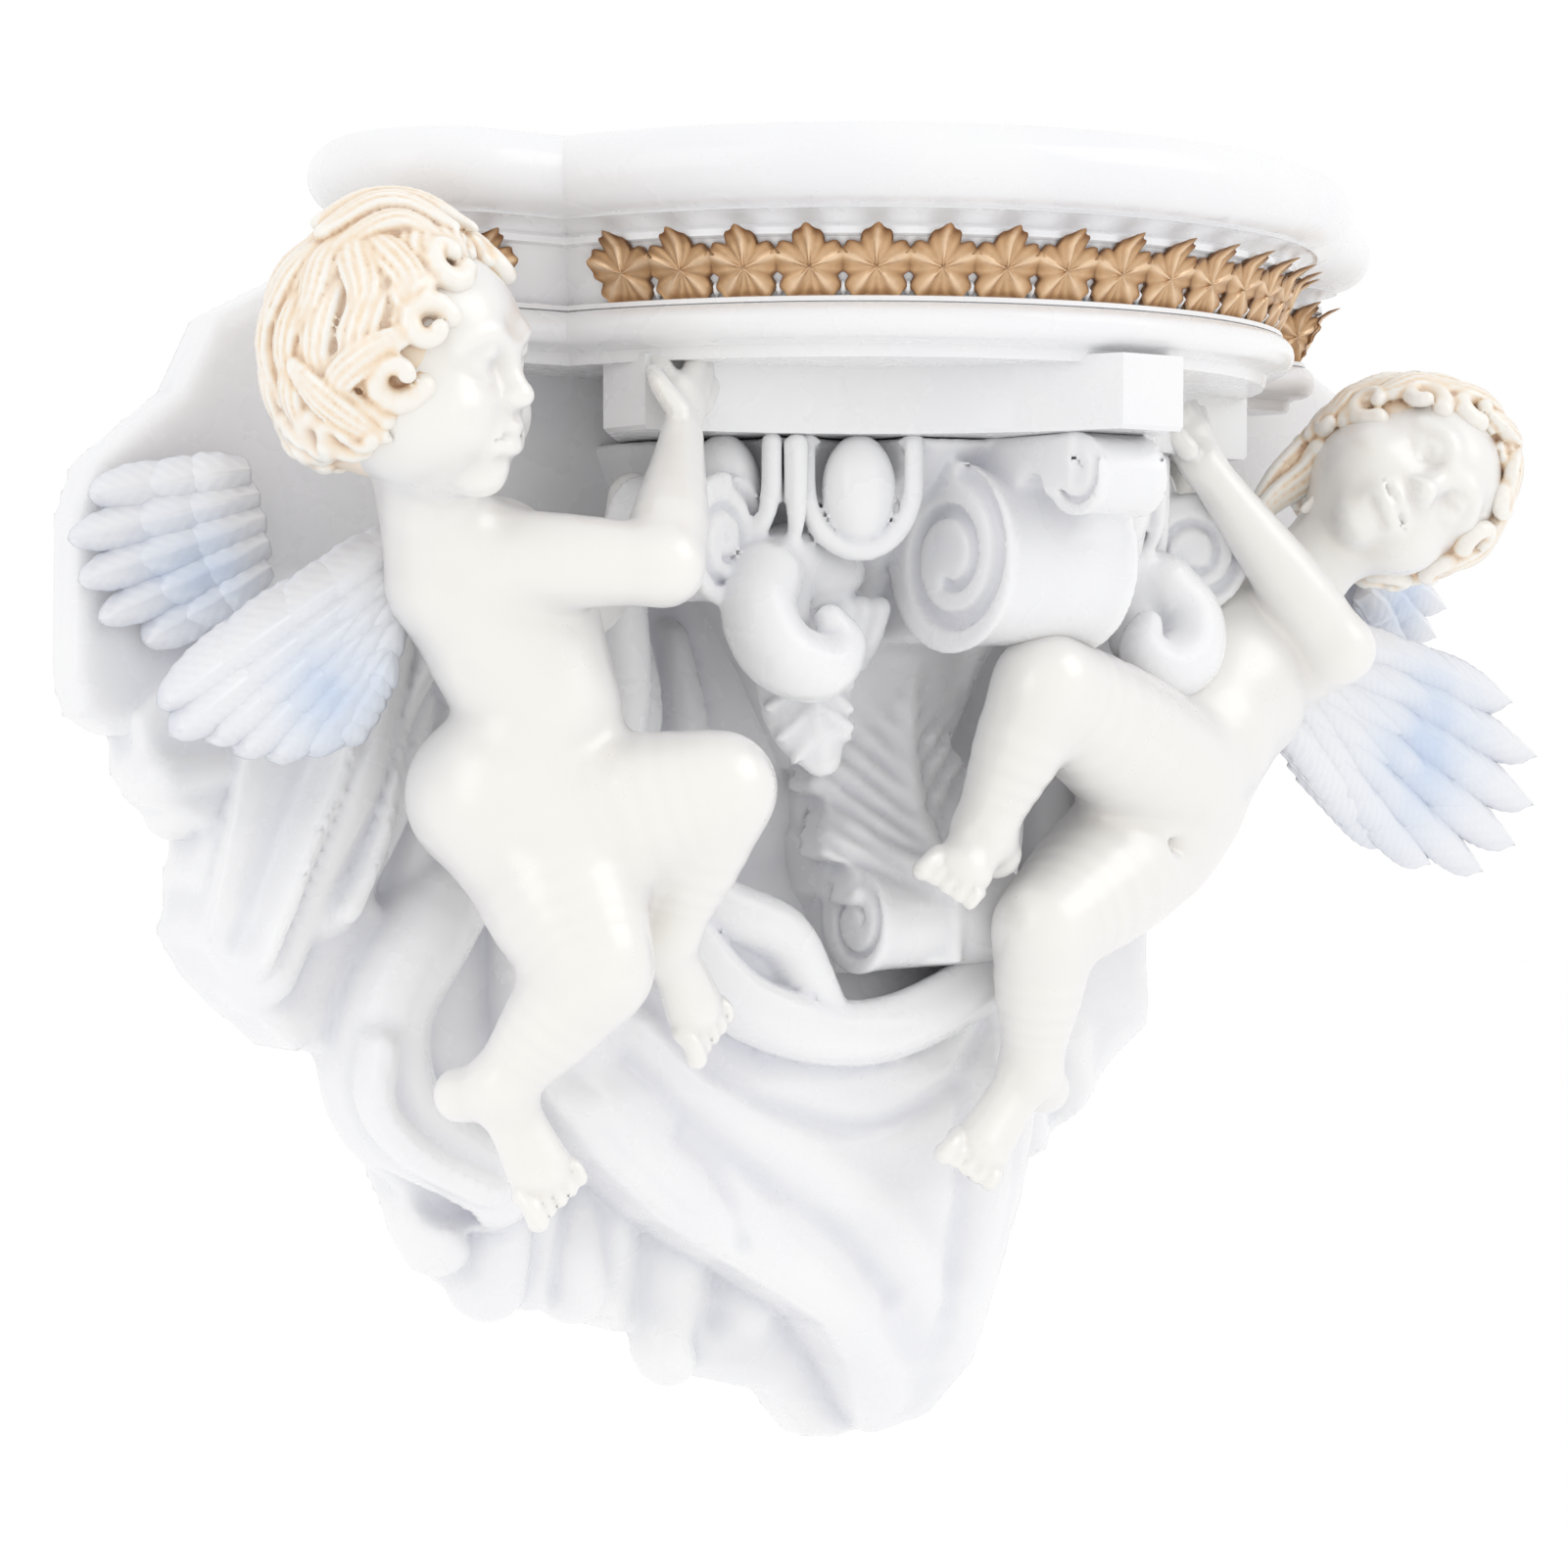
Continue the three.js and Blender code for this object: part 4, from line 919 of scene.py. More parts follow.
def feather(root, tip, front, width):
    """Closed cambered feather from root to tip with a raised quill and slanting barbs."""
    along = tip - root
    length = np.linalg.norm(along)
    side = unit(np.cross(along, front))
    up = unit(np.cross(side, along))
    top, under, painted_shade_values = [], [], []
    for r in range(FEATHER_ROWS):
        t = r / (FEATHER_ROWS - 1)
        swell = 0.55 + 0.45 * math.sin(math.pi * min(1, t / 0.7) / 2)
        taper = math.sqrt(max(0.0, 1 - max(0, (t - 0.5) / 0.5) ** 2.2))
        half = max(0.35, width * swell * taper)
        half *= 1 + 0.025 * math.sin(2 * math.pi * t * length / 5.5)
        middle = root + along * t + up * (FEATHER_BOW * math.sin(math.pi * t * 0.85))
        for c in range(FEATHER_COLUMNS):
            s = 2 * c / (FEATHER_COLUMNS - 1) - 1
            quill = QUILL_HEIGHT * math.exp(-((s / 0.16) ** 2)) * (1 - t) ** 0.4
            barb = math.sin(2 * math.pi * (t * length - abs(s) * half * 1.1) / BARB_PITCH)
            place = middle + side * s * half
            rise = CAMBER * (1 - s * s) + quill + BARB_HEIGHT * barb * min(1, 2 * abs(s))
            top.append(place + up * rise)
            under.append(place - up * FEATHER_BACK)
            # painted shade value: higher in the barb grooves and towards the feather's edges
            painted_shade_values.append(0.4 - 0.12 * barb * min(1, 3 * abs(s)) + 0.5 * abs(s) ** 3)
    return sheet_faces(top, under, FEATHER_ROWS, FEATHER_COLUMNS), painted_shade_values


def sheet_faces(top, under, rows, columns):
    """Points and faces of a closed sheet from two equal grids of points."""
    faces = grid_faces(rows, columns, False)
    start = len(top)
    faces += [tuple(i + start for i in face[::-1]) for face in faces]
    edge = list(range(columns)) + [r * columns + columns - 1 for r in range(1, rows)]
    edge += [(rows - 1) * columns + c for c in range(columns - 2, -1, -1)]
    edge += [r * columns for r in range(rows - 2, 0, -1)]
    for a, b in zip(edge, edge[1:] + edge[:1]):
        faces.append((b, a, a + start, b + start))
    return list(top) + list(under), faces


def make_wing(name, seed, arm, tips, rows, blue):
    """Rows of feathers fanned from an arm, the longest first; blue is the middle and reach of the wash."""
    random = np.random.default_rng(seed)
    front = np.array([0, -1, 0.1])
    arm = np.array(arm, float)
    curve = smooth_path(tips, TIP_CURVE_STEPS)
    parts, painted_shade_values = [], []
    for count, reach, half, rise, start in rows:
        for i in range(count):
            share = (i + 0.5) / count
            root = arm[0] + (arm[1] - arm[0]) * share
            tip = curve[int(round(share * (len(curve) - 1)))]
            far = reach * random.uniform(0.98, 1.05)
            base = root + (tip - root) * start + front * rise
            end = root + (tip - root) * far + front * rise * 0.55
            part, shades = feather(base, end, front, half * random.uniform(0.92, 1.08))
            parts.append(part)
            painted_shade_values += shades * 2
    points, faces = join_parts(parts)
    away = np.linalg.norm(np.array(points)[:, [0, 2]] - np.array(blue[:2]), axis=1) / blue[2]
    values = {"wash": np.exp(-(away**2)), "hollow": painted_shade_values}
    make_piece(name, points, faces, WING, "wing_blue", (), values)


# Rows of feathers: how many, reach towards the tips, half width, rise over the arm, start.
NEAR_ROWS = [
    (7, 1.0, 8.6, 2.0, 0.3),
    (7, 0.8, 8.2, 4.5, 0.18),
    (7, 0.6, 7.6, 7.0, 0.06),
    (6, 0.42, 7.6, 9.0, -0.04),
    (5, 0.25, 7.5, 10.5, -0.12),
]
FAR_ROWS = [(5, 1.0, 6.5, 1.0, 0.1), (5, 0.66, 7.0, 4.0, 0.0), (5, 0.4, 7.0, 6.0, -0.1)]

# Wings: name, seed, arm, tips of the longest row, rows, and the middle and reach of the wash.
WINGS = (
    ("left_near_wing", 3, [(-178, -48, 42), (-188, -50, 2)],
     [(-257, -60, -3), (-241, -60, -14), (-217, -57, -18), (-195, -54, -13)], NEAR_ROWS, (-202, 0, 19)),
    ("left_far_wing", 5, [(-214, -24, 58), (-206, -24, 26)],
     [(-244, -18, 56), (-255, -18, 36), (-248, -18, 18), (-228, -18, 8)], FAR_ROWS, (-226, 30, 15)),
    ("right_near_wing", 7, [(152, -50, 22), (138, -52, -18)],
     [(246, -47, 2), (262, -48, -28), (257, -47, -55), (222, -44, -60), (194, -42, -48)],
     NEAR_ROWS, (206, -18, 30)),
    ("right_far_wing", 9, [(214, -24, 58), (206, -24, 26)],
     [(244, -18, 56), (252, -18, 36), (247, -18, 18), (228, -18, 8)], FAR_ROWS, (226, 30, 15)),
)
for wing in WINGS:
    make_wing(*wing)


# Wall plate, drapery and the slung rope of cloth
PLATE_DEPTH = 15.0
PLATE_HALF = [
    (0, 112), (-187, 110), (-211, 98), (-221, 78), (-235, 67), (-246, 58), (-251, 44), (-252, 4),
    (-249, -8), (-240, -13), (0, -20),
]
HEM_LEFT = [
    (-236, -8), (-235, -24), (-229, -32), (-217, -38), (-220, -52), (-217, -64), (-209, -76),
    (-207, -86), (-184, -99), (-167, -100), (-163, -118), (-158, -134), (-150, -150), (-136, -168),
    (-116, -176), (-92, -178), (-84, -186), (-70, -188), (-56, -202), (-25, -211), (-12, -226),
]
HEM_RIGHT = [
    (125, -8), (120, -40), (118, -65), (116, -87), (116, -108), (102, -118), (93, -127), (84, -136),
    (74, -145), (56, -150), (42, -156), (36, -180), (33, -205), (24, -222), (2, -228),
]

# Folds that stand out of the cloth: height over the wall, half width and path in x and z.
FOLDS = [
    (26, 8, [(-196, -20), (-229, -24)]),
    (20, 7, [(-190, -31), (-222, -34)]),
    (28, 7, [(-186, -12), (-203, -48), (-214, -63)]),
    (38, 10, [(-162, 10), (-176, -22), (-190, -48), (-204, -76)]),
    (36, 9, [(-154, -4), (-164, -26), (-176, -48), (-188, -62)]),
    (44, 14, [(-132, -44), (-154, -66), (-168, -88), (-166, -112), (-152, -126), (-134, -137)]),
    (28, 8, [(-150, -128), (-150, -144), (-144, -156)]),
    (30, 10, [(-122, -128), (-126, -152), (-128, -168)]),
    (27, 10, [(-97, -140), (-100, -160), (-98, -172)]),
    (24, 8, [(-60, -176), (-66, -190), (-64, -196)]),
    (36, 9, [(-88, 28), (-84, -8), (-96, -46)]),
    (31, 8, [(-66, 14), (-64, -16), (-74, -50), (-88, -74)]),
    (30, 8, [(-52, -28), (-54, -50), (-64, -66)]),
]

# Sheets of cloth that overlap: outline in x and z, and height over the wall at each level.
UPPER_SHEET = [
    (-132, -40), (-133, -98), (-127, -113), (-112, -130), (-89, -150), (-67, -163), (-47, -174),
    (-26, -187), (-14, -200), (-3, -216), (6, -226), (26, -222), (34, -205), (37, -180),
    (43, -156), (50, -120), (60, -40),
]
UPPER_LEVELS = ((-226, 22), (-205, 36), (-180, 44), (-150, 49), (-114, 50), (-94, 44), (-68, 31), (-40, 20))
LOWER_LEVELS = ((-228, 12), (-205, 15), (-175, 19), (-140, 23), (-100, 26), (-40, 22), (30, 16))
LEFT_SHEET = [
    (-196, 22), (-222, -66), (-214, -79), (-192, -98), (-178, -88), (-175, -78), (-163, -71), (-140, -44),
    (-140, 22),
]
LEFT_LEVELS = ((-98, 26), (-60, 31), (22, 20))
LEFT_CREASES = [
    (12, 4.5, [(-170, 14), (-184, -22), (-196, -44), (-210, -74)]),
    (-9, 4, [(-162, 10), (-176, -26), (-186, -46), (-198, -66)]),
    (12, 4.5, [(-152, 8), (-165, -12), (-173, -40), (-184, -60)]),
    (-8, 4, [(-146, -6), (-157, -30), (-166, -56)]),
]

# Rounded edges of folds: height over the wall, radius, flatness, blend and path.
LIPS = [
    (40, 5, 1.4, 2, [(-176, -96), (-177, -112), (-164, -126), (-143, -137)]),
    (34, 9, 1.2, 4, [(-118, 34), (-112, 4), (-116, -26), (-126, -52)]),
    (40, 8, 1.2, 4, [(-100, 30), (-98, -2), (-104, -30)]),
]
LIP_HOLLOW = [(-168, -26, -134), (-152, -28, -141), (-140, -28, -144)]
FOLD_CENTRE = 0.55
FOLD_HALF = 0.45
FOLD_START = 0.6

# Mound of cloth behind the lower scroll: centre and radii.
MOUND = ((-34, 0, -60), (92, 24, 80))

# Soft creases of the upper sheet: height, half width and path.
CREASES = [
    (3.0, 7, [(-112, -114), (-90, -134), (-62, -154), (-34, -172), (-10, -194), (6, -214)]),
    (-2.4, 4, [(-100, -104), (-76, -126), (-50, -144), (-24, -160), (-4, -180)]),
    (2.2, 7, [(-92, -96), (-66, -118), (-36, -137), (-8, -156), (14, -184)]),
    (-2.2, 4, [(-84, -126), (-73, -136), (-62, -158)]),
    (-2.4, 4, [(-94, -84), (-74, -108), (-46, -122), (-16, -128), (14, -118), (30, -100)]),
    (2.6, 7, [(-86, -76), (-60, -98), (-28, -110), (4, -110), (30, -92)]),
    (3.2, 6, [(30, -110), (31, -150), (26, -200)]),
    (-2.0, 4, [(18, -120), (19, -150), (17, -186)]),
]

# Slung rope of cloth, its wound strands, and the tail that crosses it.
SWAG = [
    (-104, -42, -34), (-84, -48, -68), (-64, -54, -91), (-26, -56, -100), (10, -55, -92), (40, -52, -76),
    (56, -46, -48), (62, -36, -20),
]
SWAG_RADII = (8, 9, 9.5, 9.5, 9, 9, 9, 8)
SWAG_STRANDS = 4
SWAG_TWIST = 2.6
STRAND_RADIUS = 5.0
STRAND_REACH = 5.4
TAIL = [(-86, -46, -52), (-72, -53, -62), (-54, -56, -70), (-44, -57, -84), (-35, -58, -96)]
TAIL_BACK = [(-74, -40, -66), (-60, -44, -78), (-46, -46, -90)]


def nearest_on_path(flat, path):
    """Distance of each point of a flat grid from a path in x and z."""
    best = np.full(flat.shape[:2], VERY_FAR)
    for a, b in zip(path, path[1:]):
        span = b - a
        offset = flat - a
        share = np.clip(offset @ span / (span @ span), 0, 1)
        best = np.minimum(best, np.linalg.norm(offset - share[..., None] * span, axis=-1))
    return best


def slab(outline, levels, rounding, creases=()):
    """Flat-backed sheet with a rounded edge, cut to an outline in x and z; levels give its height by z."""
    corners = np.array(outline, float)
    stations = np.array(sorted(levels), float)
    tallest = stations[:, 1].max() + 4
    low = np.array([corners[:, 0].min(), -tallest, corners[:, 1].min()])
    high = np.array([corners[:, 0].max(), 0.0, corners[:, 1].max()])

    def distance(points):
        flat = points[:, 0, :][:, :, [0, 2]].astype(float)
        inside = np.zeros(flat.shape[:2], bool)
        for a, b in zip(corners, np.roll(corners, -1, axis=0)):
            crosses = (a[1] > flat[..., 1]) != (b[1] > flat[..., 1])
            if b[1] != a[1]:
                inside ^= crosses & (flat[..., 0] < a[0] + (b - a)[0] * (flat[..., 1] - a[1]) / (b - a)[1])
        best = nearest_on_path(flat, np.vstack([corners, corners[:1]]))
        tall = np.interp(flat[..., 1], stations[:, 0], stations[:, 1])
        for height, half, path in creases:
            tall = tall + height * np.exp(-((nearest_on_path(flat, smooth_path(path, 4)) / half) ** 2))
        edge = np.where(inside, -best, best)[:, None, :] + rounding
        front = -tall[:, None, :] - points[..., 1] + rounding
        outside = np.sqrt(np.maximum(edge, 0) ** 2 + np.maximum(front, 0) ** 2)
        return (outside + np.minimum(np.maximum(edge, front), 0) - rounding).astype(np.float32)

    return low, high, distance


def fold(height, half, path):
    """Ridge of cloth that rises to a height over the wall along a path in x and z."""
    centres = [(x, -height * FOLD_CENTRE, z) for x, z in path]
    radii = [half * (FOLD_START if i == 0 else 1.0) for i in range(len(path))]
    return rope(centres, radii, per_span=4, flat=height * FOLD_HALF / half)


def press_swag(clay):
    """Slung rope of cloth with strands wound round it."""
    clay.add(rope(SWAG, SWAG_RADII, per_span=4), 1.5)
    core = smooth_path(SWAG, 5)
    for turn in range(SWAG_STRANDS):
        angles = turn * 2 * math.pi / SWAG_STRANDS + np.linspace(0, SWAG_TWIST, len(core))
        away = [np.zeros(len(core)), -np.cos(angles) * STRAND_REACH, np.sin(angles) * STRAND_REACH]
        clay.add(rope(core + np.column_stack(away), STRAND_RADIUS, per_span=1), 0.8)


def make_drapery():
    """Wall plate, hanging cloth with its folds and sheets, and the slung rope across it."""
    clay = Clay((-262, -82, -234), (262, 4, 118), CLOTH_CELL)
    plate = PLATE_HALF + [(-x, z) for x, z in PLATE_HALF[-2:0:-1]]
    clay.add(slab(plate, ((-20, PLATE_DEPTH), (112, PLATE_DEPTH)), 4.0))
    cloth = [(-200, 30)] + HEM_LEFT + HEM_RIGHT[::-1] + [(118, 30)]
    waves = [(3.5, 7, [(x, -110), (x + 5, -150), (x, -185)]) for x in (-118, -92, -64, -34, 66, 84)]
    waves += [(-3.0, 5, [(x, -120), (x + 4, -150), (x + 2, -185)]) for x in (-106, -78, -50, 75)]
    clay.add(slab(cloth, LOWER_LEVELS, 3.0, waves), 2)
    for height, half, path in FOLDS:
        clay.add(fold(height, half, path), 3)
    clay.add(slab(LEFT_SHEET, LEFT_LEVELS, 2.5, LEFT_CREASES), 1.0)
    clay.add(egg(*MOUND), 6)
    clay.add(slab(UPPER_SHEET, UPPER_LEVELS, 2.5, CREASES), 0.8)
    for height, half, flat, blend, path in LIPS:
        clay.add(rope([(x, -height, z) for x, z in path], half, per_span=4, flat=flat), blend)
    clay.cut(rope(LIP_HOLLOW, (3, 6, 5), per_span=4), 2)
    clay.add(rope(TAIL, (7, 8, 8, 7, 4), per_span=4), 2)
    clay.add(rope(TAIL_BACK, (9, 10, 7), per_span=4), 3)
    press_swag(clay)
    clay.behind(0.0)
    make_clay_piece("drapery", clay, WHITE, "gloss_white", ("bracket",), hollow=(16, 3.0))


make_drapery()


# Capital and console
EGGS = ((-49, -85, 54), (-80, -63, 54))
EGG_RADII = (10.5, 10.0, 15.5)
FRONT_SCROLL = ((0, -93, 36), 28.0, 24.0)
HORN_SCROLL = ((0, -133, 57.5), 12.0, 13.0)
SIDE_SCROLL = ((92, -62, 40), 19.0, 15.0)
LOWER_SCROLL = ((0, -55, -68), 15.5, 28.0)
SPIRAL_TURNS = 1.5

SPIRAL_STEPS = 40
SPIRAL_START = 0.42 * math.pi
DRUM_ROUNDING = 2.0

# Leaf down the console: height, reach of its midrib and half width.
CONSOLE_LEAF = (
    (26, 48, 14), (10, 45, 20), (0, 43, 24), (-20, 42, 30), (-36, 46, 33), (-48, 55, 27), (-58, 63, 10),
)
LOBE_PITCH = 17
VEIN_PITCH = 8.5
VEIN_SLANT = 0.85

# Bell of the capital: height, half width and reach from the middle line.
BELL_LEVELS = ((68.7, 90, 102), (58, 86, 92), (44, 74, 76), (26, 56, 62), (4, 42, 50), (-24, 30, 40))
BELL_MIDDLE_Y = -20
CUP_RADIUS = 15.0
CUP_DEPTH = 19

# Curled leaf under the eggs, on the right half: its body, its hooked tip and the core that fills the hook.
LEAF_BODY = ((30, -52, 40), (48, -62, 38), (64, -70, 35), (74, -74, 28))
LEAF_HOOK = ((74, -76, 30), (80, -80, 20), (76, -84, 9), (64, -86, 5), (56, -86, 11), (59, -85, 18))
LEAF_CORE = ((66, -70, 26), (66, -72, 14))
LEAF_STALK = ((34, -44, 34), (46, -56, 14), (50, -62, -6), (46, -64, -20))
DART = ((67, -80, 66), (67, -80, 48), (65, -76, 36))


def mirrored(path, side):
    """Path of the right half of the capital, or its mirror image where side is -1."""
    return [(side * x, y, z) for x, y, z in path]


def drum(centre, axis, radius, half, waist):
    """Roll of a scroll, thinner in the middle by waist, with rounded rims."""
    centre, axis = np.array(centre, float), unit(axis)

    def distance(points):
        offset = points - centre.astype(np.float32)
        along = offset @ axis.astype(np.float32)
        away = np.sqrt(np.maximum(np.einsum("...i,...i->...", offset, offset) - along**2, 0))
        share = np.clip(along / half, -1, 1)
        side = away - (radius - waist * (1 - share**4)) + DRUM_ROUNDING
        end = np.abs(along) - half + DRUM_ROUNDING
        outside = np.sqrt(np.maximum(side, 0) ** 2 + np.maximum(end, 0) ** 2)
        return outside + np.minimum(np.maximum(side, end), 0) - DRUM_ROUNDING

    reach = radius + half
    return centre - reach, centre + reach, distance


def volute(clay, scroll, side, axis, waist, faces=(-1, 1), groove=2.3, turns=SPIRAL_TURNS):
    """Roll with a deep spiral groove cut into its faces, so that a fat band winds to the eye."""
    (x, y, z), radius, half = scroll
    centre, axis = np.array([side * x, y, z], float), unit(axis)
    across = unit(np.cross(axis, (0, 0, 1)))
    clay.add(drum(centre, axis, radius, half, waist), 2)
    for face in faces:
        path, radii = [], []
        for i in range(SPIRAL_STEPS + 1):
            share = i / SPIRAL_STEPS
            angle = SPIRAL_START - turns * 2 * math.pi * share
            out = radius * (0.86 - 0.58 * share ** 0.85)
            spot = across * math.cos(angle) + np.array([0, 0, 1]) * math.sin(angle)
            path.append(centre + axis * face * (half + 0.4 - 1.4 * min(1, share * 6)) + out * spot)
            radii.append(groove * (1.25 - 0.5 * share))
        clay.cut(rope(path, radii, per_span=1), 1.0)


def console_leaf():
    """Broad leaf bent round the console, with a lens-shaped midrib, slanting veins and a lobed edge."""
    levels = np.array(sorted(CONSOLE_LEAF), float)
    low = np.array([-42.0, -76.0, levels[0, 0] - 16])
    high = np.array([42.0, -8.0, levels[-1, 0] + 4])

    def distance(points):
        x, y, z = (points[..., k].astype(float) for k in range(3))
        lobed = z + 0.5 * np.abs(x)
        half = np.interp(lobed, levels[:, 0], levels[:, 2])
        half = half * (1 + 0.13 * np.sin(lobed * 2 * math.pi / LOBE_PITCH))
        reach = np.interp(z, levels[:, 0], levels[:, 1])
        share = np.minimum(np.abs(x) / np.maximum(half, 1), 1.2)
        midrib = 3.4 * np.exp(-((x / 4.4) ** 2))
        slanted = (z - VEIN_SLANT * np.abs(x)) * 2 * math.pi / VEIN_PITCH
        veins = 0.8 * np.cos(slanted) * np.clip(np.abs(x) / 7, 0, 1)
        middle = -reach + 7 * share**2 - midrib - veins
        thick = np.abs(y - middle - 3.0) - 6.0
        edge = (np.abs(x) - half) * 0.8
        return np.maximum(thick * 0.75, edge).astype(np.float32)

    return low, high, distance


def veined_leaf(clay, path, half_widths, facing, thick):
    """Smooth leaf limb with veins running out from its middle to its edge."""
    rows = smooth_path(np.column_stack([np.array(path, float), half_widths]), 5)
    spine, widths = rows[:, :3], rows[:, 3]
    facing = unit(facing)
    clay.add(rope(spine, widths, per_span=1, flat=thick, facing=facing), 3)
    clay.add(rope(spine + facing * (widths * thick)[:, None], 1.8, per_span=1), 1.5)
    for i in range(2, len(spine) - 2, 2):
        along = unit(spine[i + 1] - spine[i])
        side_way = unit(np.cross(along, facing))
        for side in (-1, 1):
            rib = spine[i] + facing * widths[i] * thick
            out = spine[i] + side_way * side * widths[i] * 0.85 + along * widths[i] * 0.6
            out = out + facing * widths[i] * thick * 0.5
            clay.add(rope([rib, (rib + out) / 2 + facing * 0.8, out], (0.8, 1.2, 1.4), per_span=3), 1.2)


def capital_bell():
    """Bell of the capital: an oval that narrows downwards."""
    levels = np.array(BELL_LEVELS[::-1])

    def distance(points):
        heights = points[..., 2]
        wide = np.interp(heights, levels[:, 0], levels[:, 1])
        deep = np.interp(heights, levels[:, 0], levels[:, 2]) + BELL_MIDDLE_Y
        forward = np.minimum(points[..., 1] - BELL_MIDDLE_Y, 0)
        ring = np.sqrt((points[..., 0] / wide) ** 2 + (forward / deep) ** 2)
        side = (ring - 1) * np.minimum(wide, deep)
        return np.maximum(side, np.abs(heights - 22) - 46.6).astype(np.float32)

    return np.array([-92, -104, -26]), np.array([92, 0, 69]), distance


def press_egg(clay, side, place):
    """Egg in its cup, with a raised rim round the cup."""
    spot = np.array([side * place[0], place[1], place[2]], float)
    out = unit([side * place[0], place[1] + 10, 0])
    flat_side = unit(np.cross(out, (0, 0, 1)))
    clay.cut(egg(spot, (14.0, 14.0, 20.0)), 2)
    clay.add(egg(spot - out * 1.5, EGG_RADII), 0.4)
    rim = []
    for angle in np.linspace(math.pi, 2 * math.pi, 15):
        rise = np.array([0, 0, 2 + CUP_DEPTH * math.sin(angle)])
        rim.append(spot + flat_side * CUP_RADIUS * math.cos(angle) + rise + out * 1.0)
    clay.add(rope([rim[0] + (0, 0, 11)] + rim + [rim[-1] + (0, 0, 11)], 2.8, per_span=1), 0.8)


def press_side(clay, side):
    """What both halves of the capital have: eggs, dart, side scroll, curled leaf and lateral leaf."""
    for place in EGGS:
        press_egg(clay, -side, place)
    clay.add(rope(mirrored(DART, side), (3.4, 2.8, 1.0)), 0.8)
    volute(clay, SIDE_SCROLL, side, (0.35 * side, 1, 0), 2.0, faces=(-1,), groove=1.5)
    clay.add(rope(mirrored(LEAF_BODY, side), (7, 9, 9, 8), per_span=4), 3)
    clay.add(rope(mirrored(LEAF_HOOK, side), (9.5, 10.5, 10.5, 9.5, 7, 4.5), per_span=4), 2.5)
    clay.add(rope(mirrored(LEAF_CORE, side), (9, 8)), 3)
    veined_leaf(clay, mirrored(LEAF_STALK, side), (12, 15, 13, 6), (side * 0.35, -1, 0.1), 0.55)
    clay.add(egg((side * 56, -64, 32), (24, 12, 11)), 4)
    for shift in (0, 6, 12):
        rib = [(30 + shift, -70, 22), (31 + shift, -67, 14), (29 + shift, -60, 6)]
        clay.add(rope(mirrored(rib, side), (3.4, 3.6, 2.4), per_span=4), 2.5)


def make_capital():
    """Bell with its eggs, leaves and scrolls, and the console under it with its leaf and lower scroll."""
    clay = Clay((-118, -150, -92), (118, 4, 69), CAPITAL_CELL)
    clay.add(capital_bell())
    for side in (-1, 1):
        press_side(clay, side)
    clay.add(block((-20, -96, 12), (20, -40, 42), 4), 3)
    clay.add(block((-14, -134, 52), (14, -70, 69), 2), 2)
    clay.cut(rope([(-30, -116, 53), (30, -116, 53)], 5.0), 2)
    volute(clay, FRONT_SCROLL, 1, (1, 0, 0), 3.5)
    volute(clay, HORN_SCROLL, 1, (1, 0, 0), 1.5, groove=1.0, turns=1.15)
    clay.add(block((-27, -31, -84), (27, 4, 12), 3), 2)
    clay.add(block((-26, -44, -84), (30, 4, -58), 2), 2)
    clay.add(block((-29, -46, -62), (29, 4, -42), 3), 3)
    volute(clay, LOWER_SCROLL, 1, (1, 0, 0), 1.5, groove=1.2, turns=1.2)
    clay.add(console_leaf(), 1.5)
    clay.add(rope([(-19, -50, -50), (0, -62, -57), (19, -50, -50)], (5, 7, 5), per_span=5), 3)
    clay.behind(-2.0)
    make_clay_piece("capital", clay, WHITE, "gloss_white", ("bracket",), hollow=(12, 2.4))


make_capital()


# Gilt leaves round the band
def band_places():
    """Foot point and outward direction of each leaf on the bulge and the ears."""
    inset = (BAND_TOP_INSET + BAND_BOTTOM_INSET) / 2
    radius = BULGE_RADIUS - inset
    count = int(BAND_SPAN * radius / LEAF_PITCH)
    places = []
    for i in range(count):
        angle = -math.pi / 2 + (i + 0.5 - count / 2) * LEAF_PITCH / radius
        out = np.array([math.cos(angle), math.sin(angle)])
        places.append((np.array([0, BULGE_CENTRE_Y]) + radius * out, out))
    ear = EAR_RADIUS - inset
    for side in (-1, 1):
        for i in range(EAR_LEAVES):
            angle = -math.pi / 2 - 0.1 - i * 0.8
            out = np.array([-side * math.cos(angle), math.sin(angle)])
            places.append((np.array([side * EAR_CENTRE[0], EAR_CENTRE[1]]) + ear * out, out))
    return places


# Lobes of a gilt leaf: direction in degrees, reach in millimetres and half spread in degrees.
LEAF_LOBES = ((90, 10.2, 38), (22, 10.6, 34), (158, 10.6, 34), (-44, 9.6, 34), (224, 9.6, 34))
LEAF_TEETH = 15
LEAF_THICK = 1.1
LEAF_RIB_SPREAD = 9.0
LEAST_REACH = 7.4
BAND_SPAN = 0.8 * math.pi
EAR_LEAVES = 3
LEAF_RINGS = 7
LEAF_STEPS = 72


def leaf_reach(angle):
    """Reach of the leaf's toothed outline in a direction in degrees."""
    best = LEAST_REACH
    for middle, reach, spread in LEAF_LOBES:
        away = abs((angle - middle + 180) % 360 - 180) / spread
        best = max(best, reach * (1 - 0.28 * min(1, away) ** 2.2))
    return best * (1 + 0.035 * math.cos(math.radians((angle - 90) * LEAF_TEETH)))


def rib_share(angle, direction):
    """How near a direction is to the middle of a lobe's rib, from 0 to 1."""
    return math.exp(-((((angle - direction + 180) % 360 - 180) / LEAF_RIB_SPREAD) ** 2))


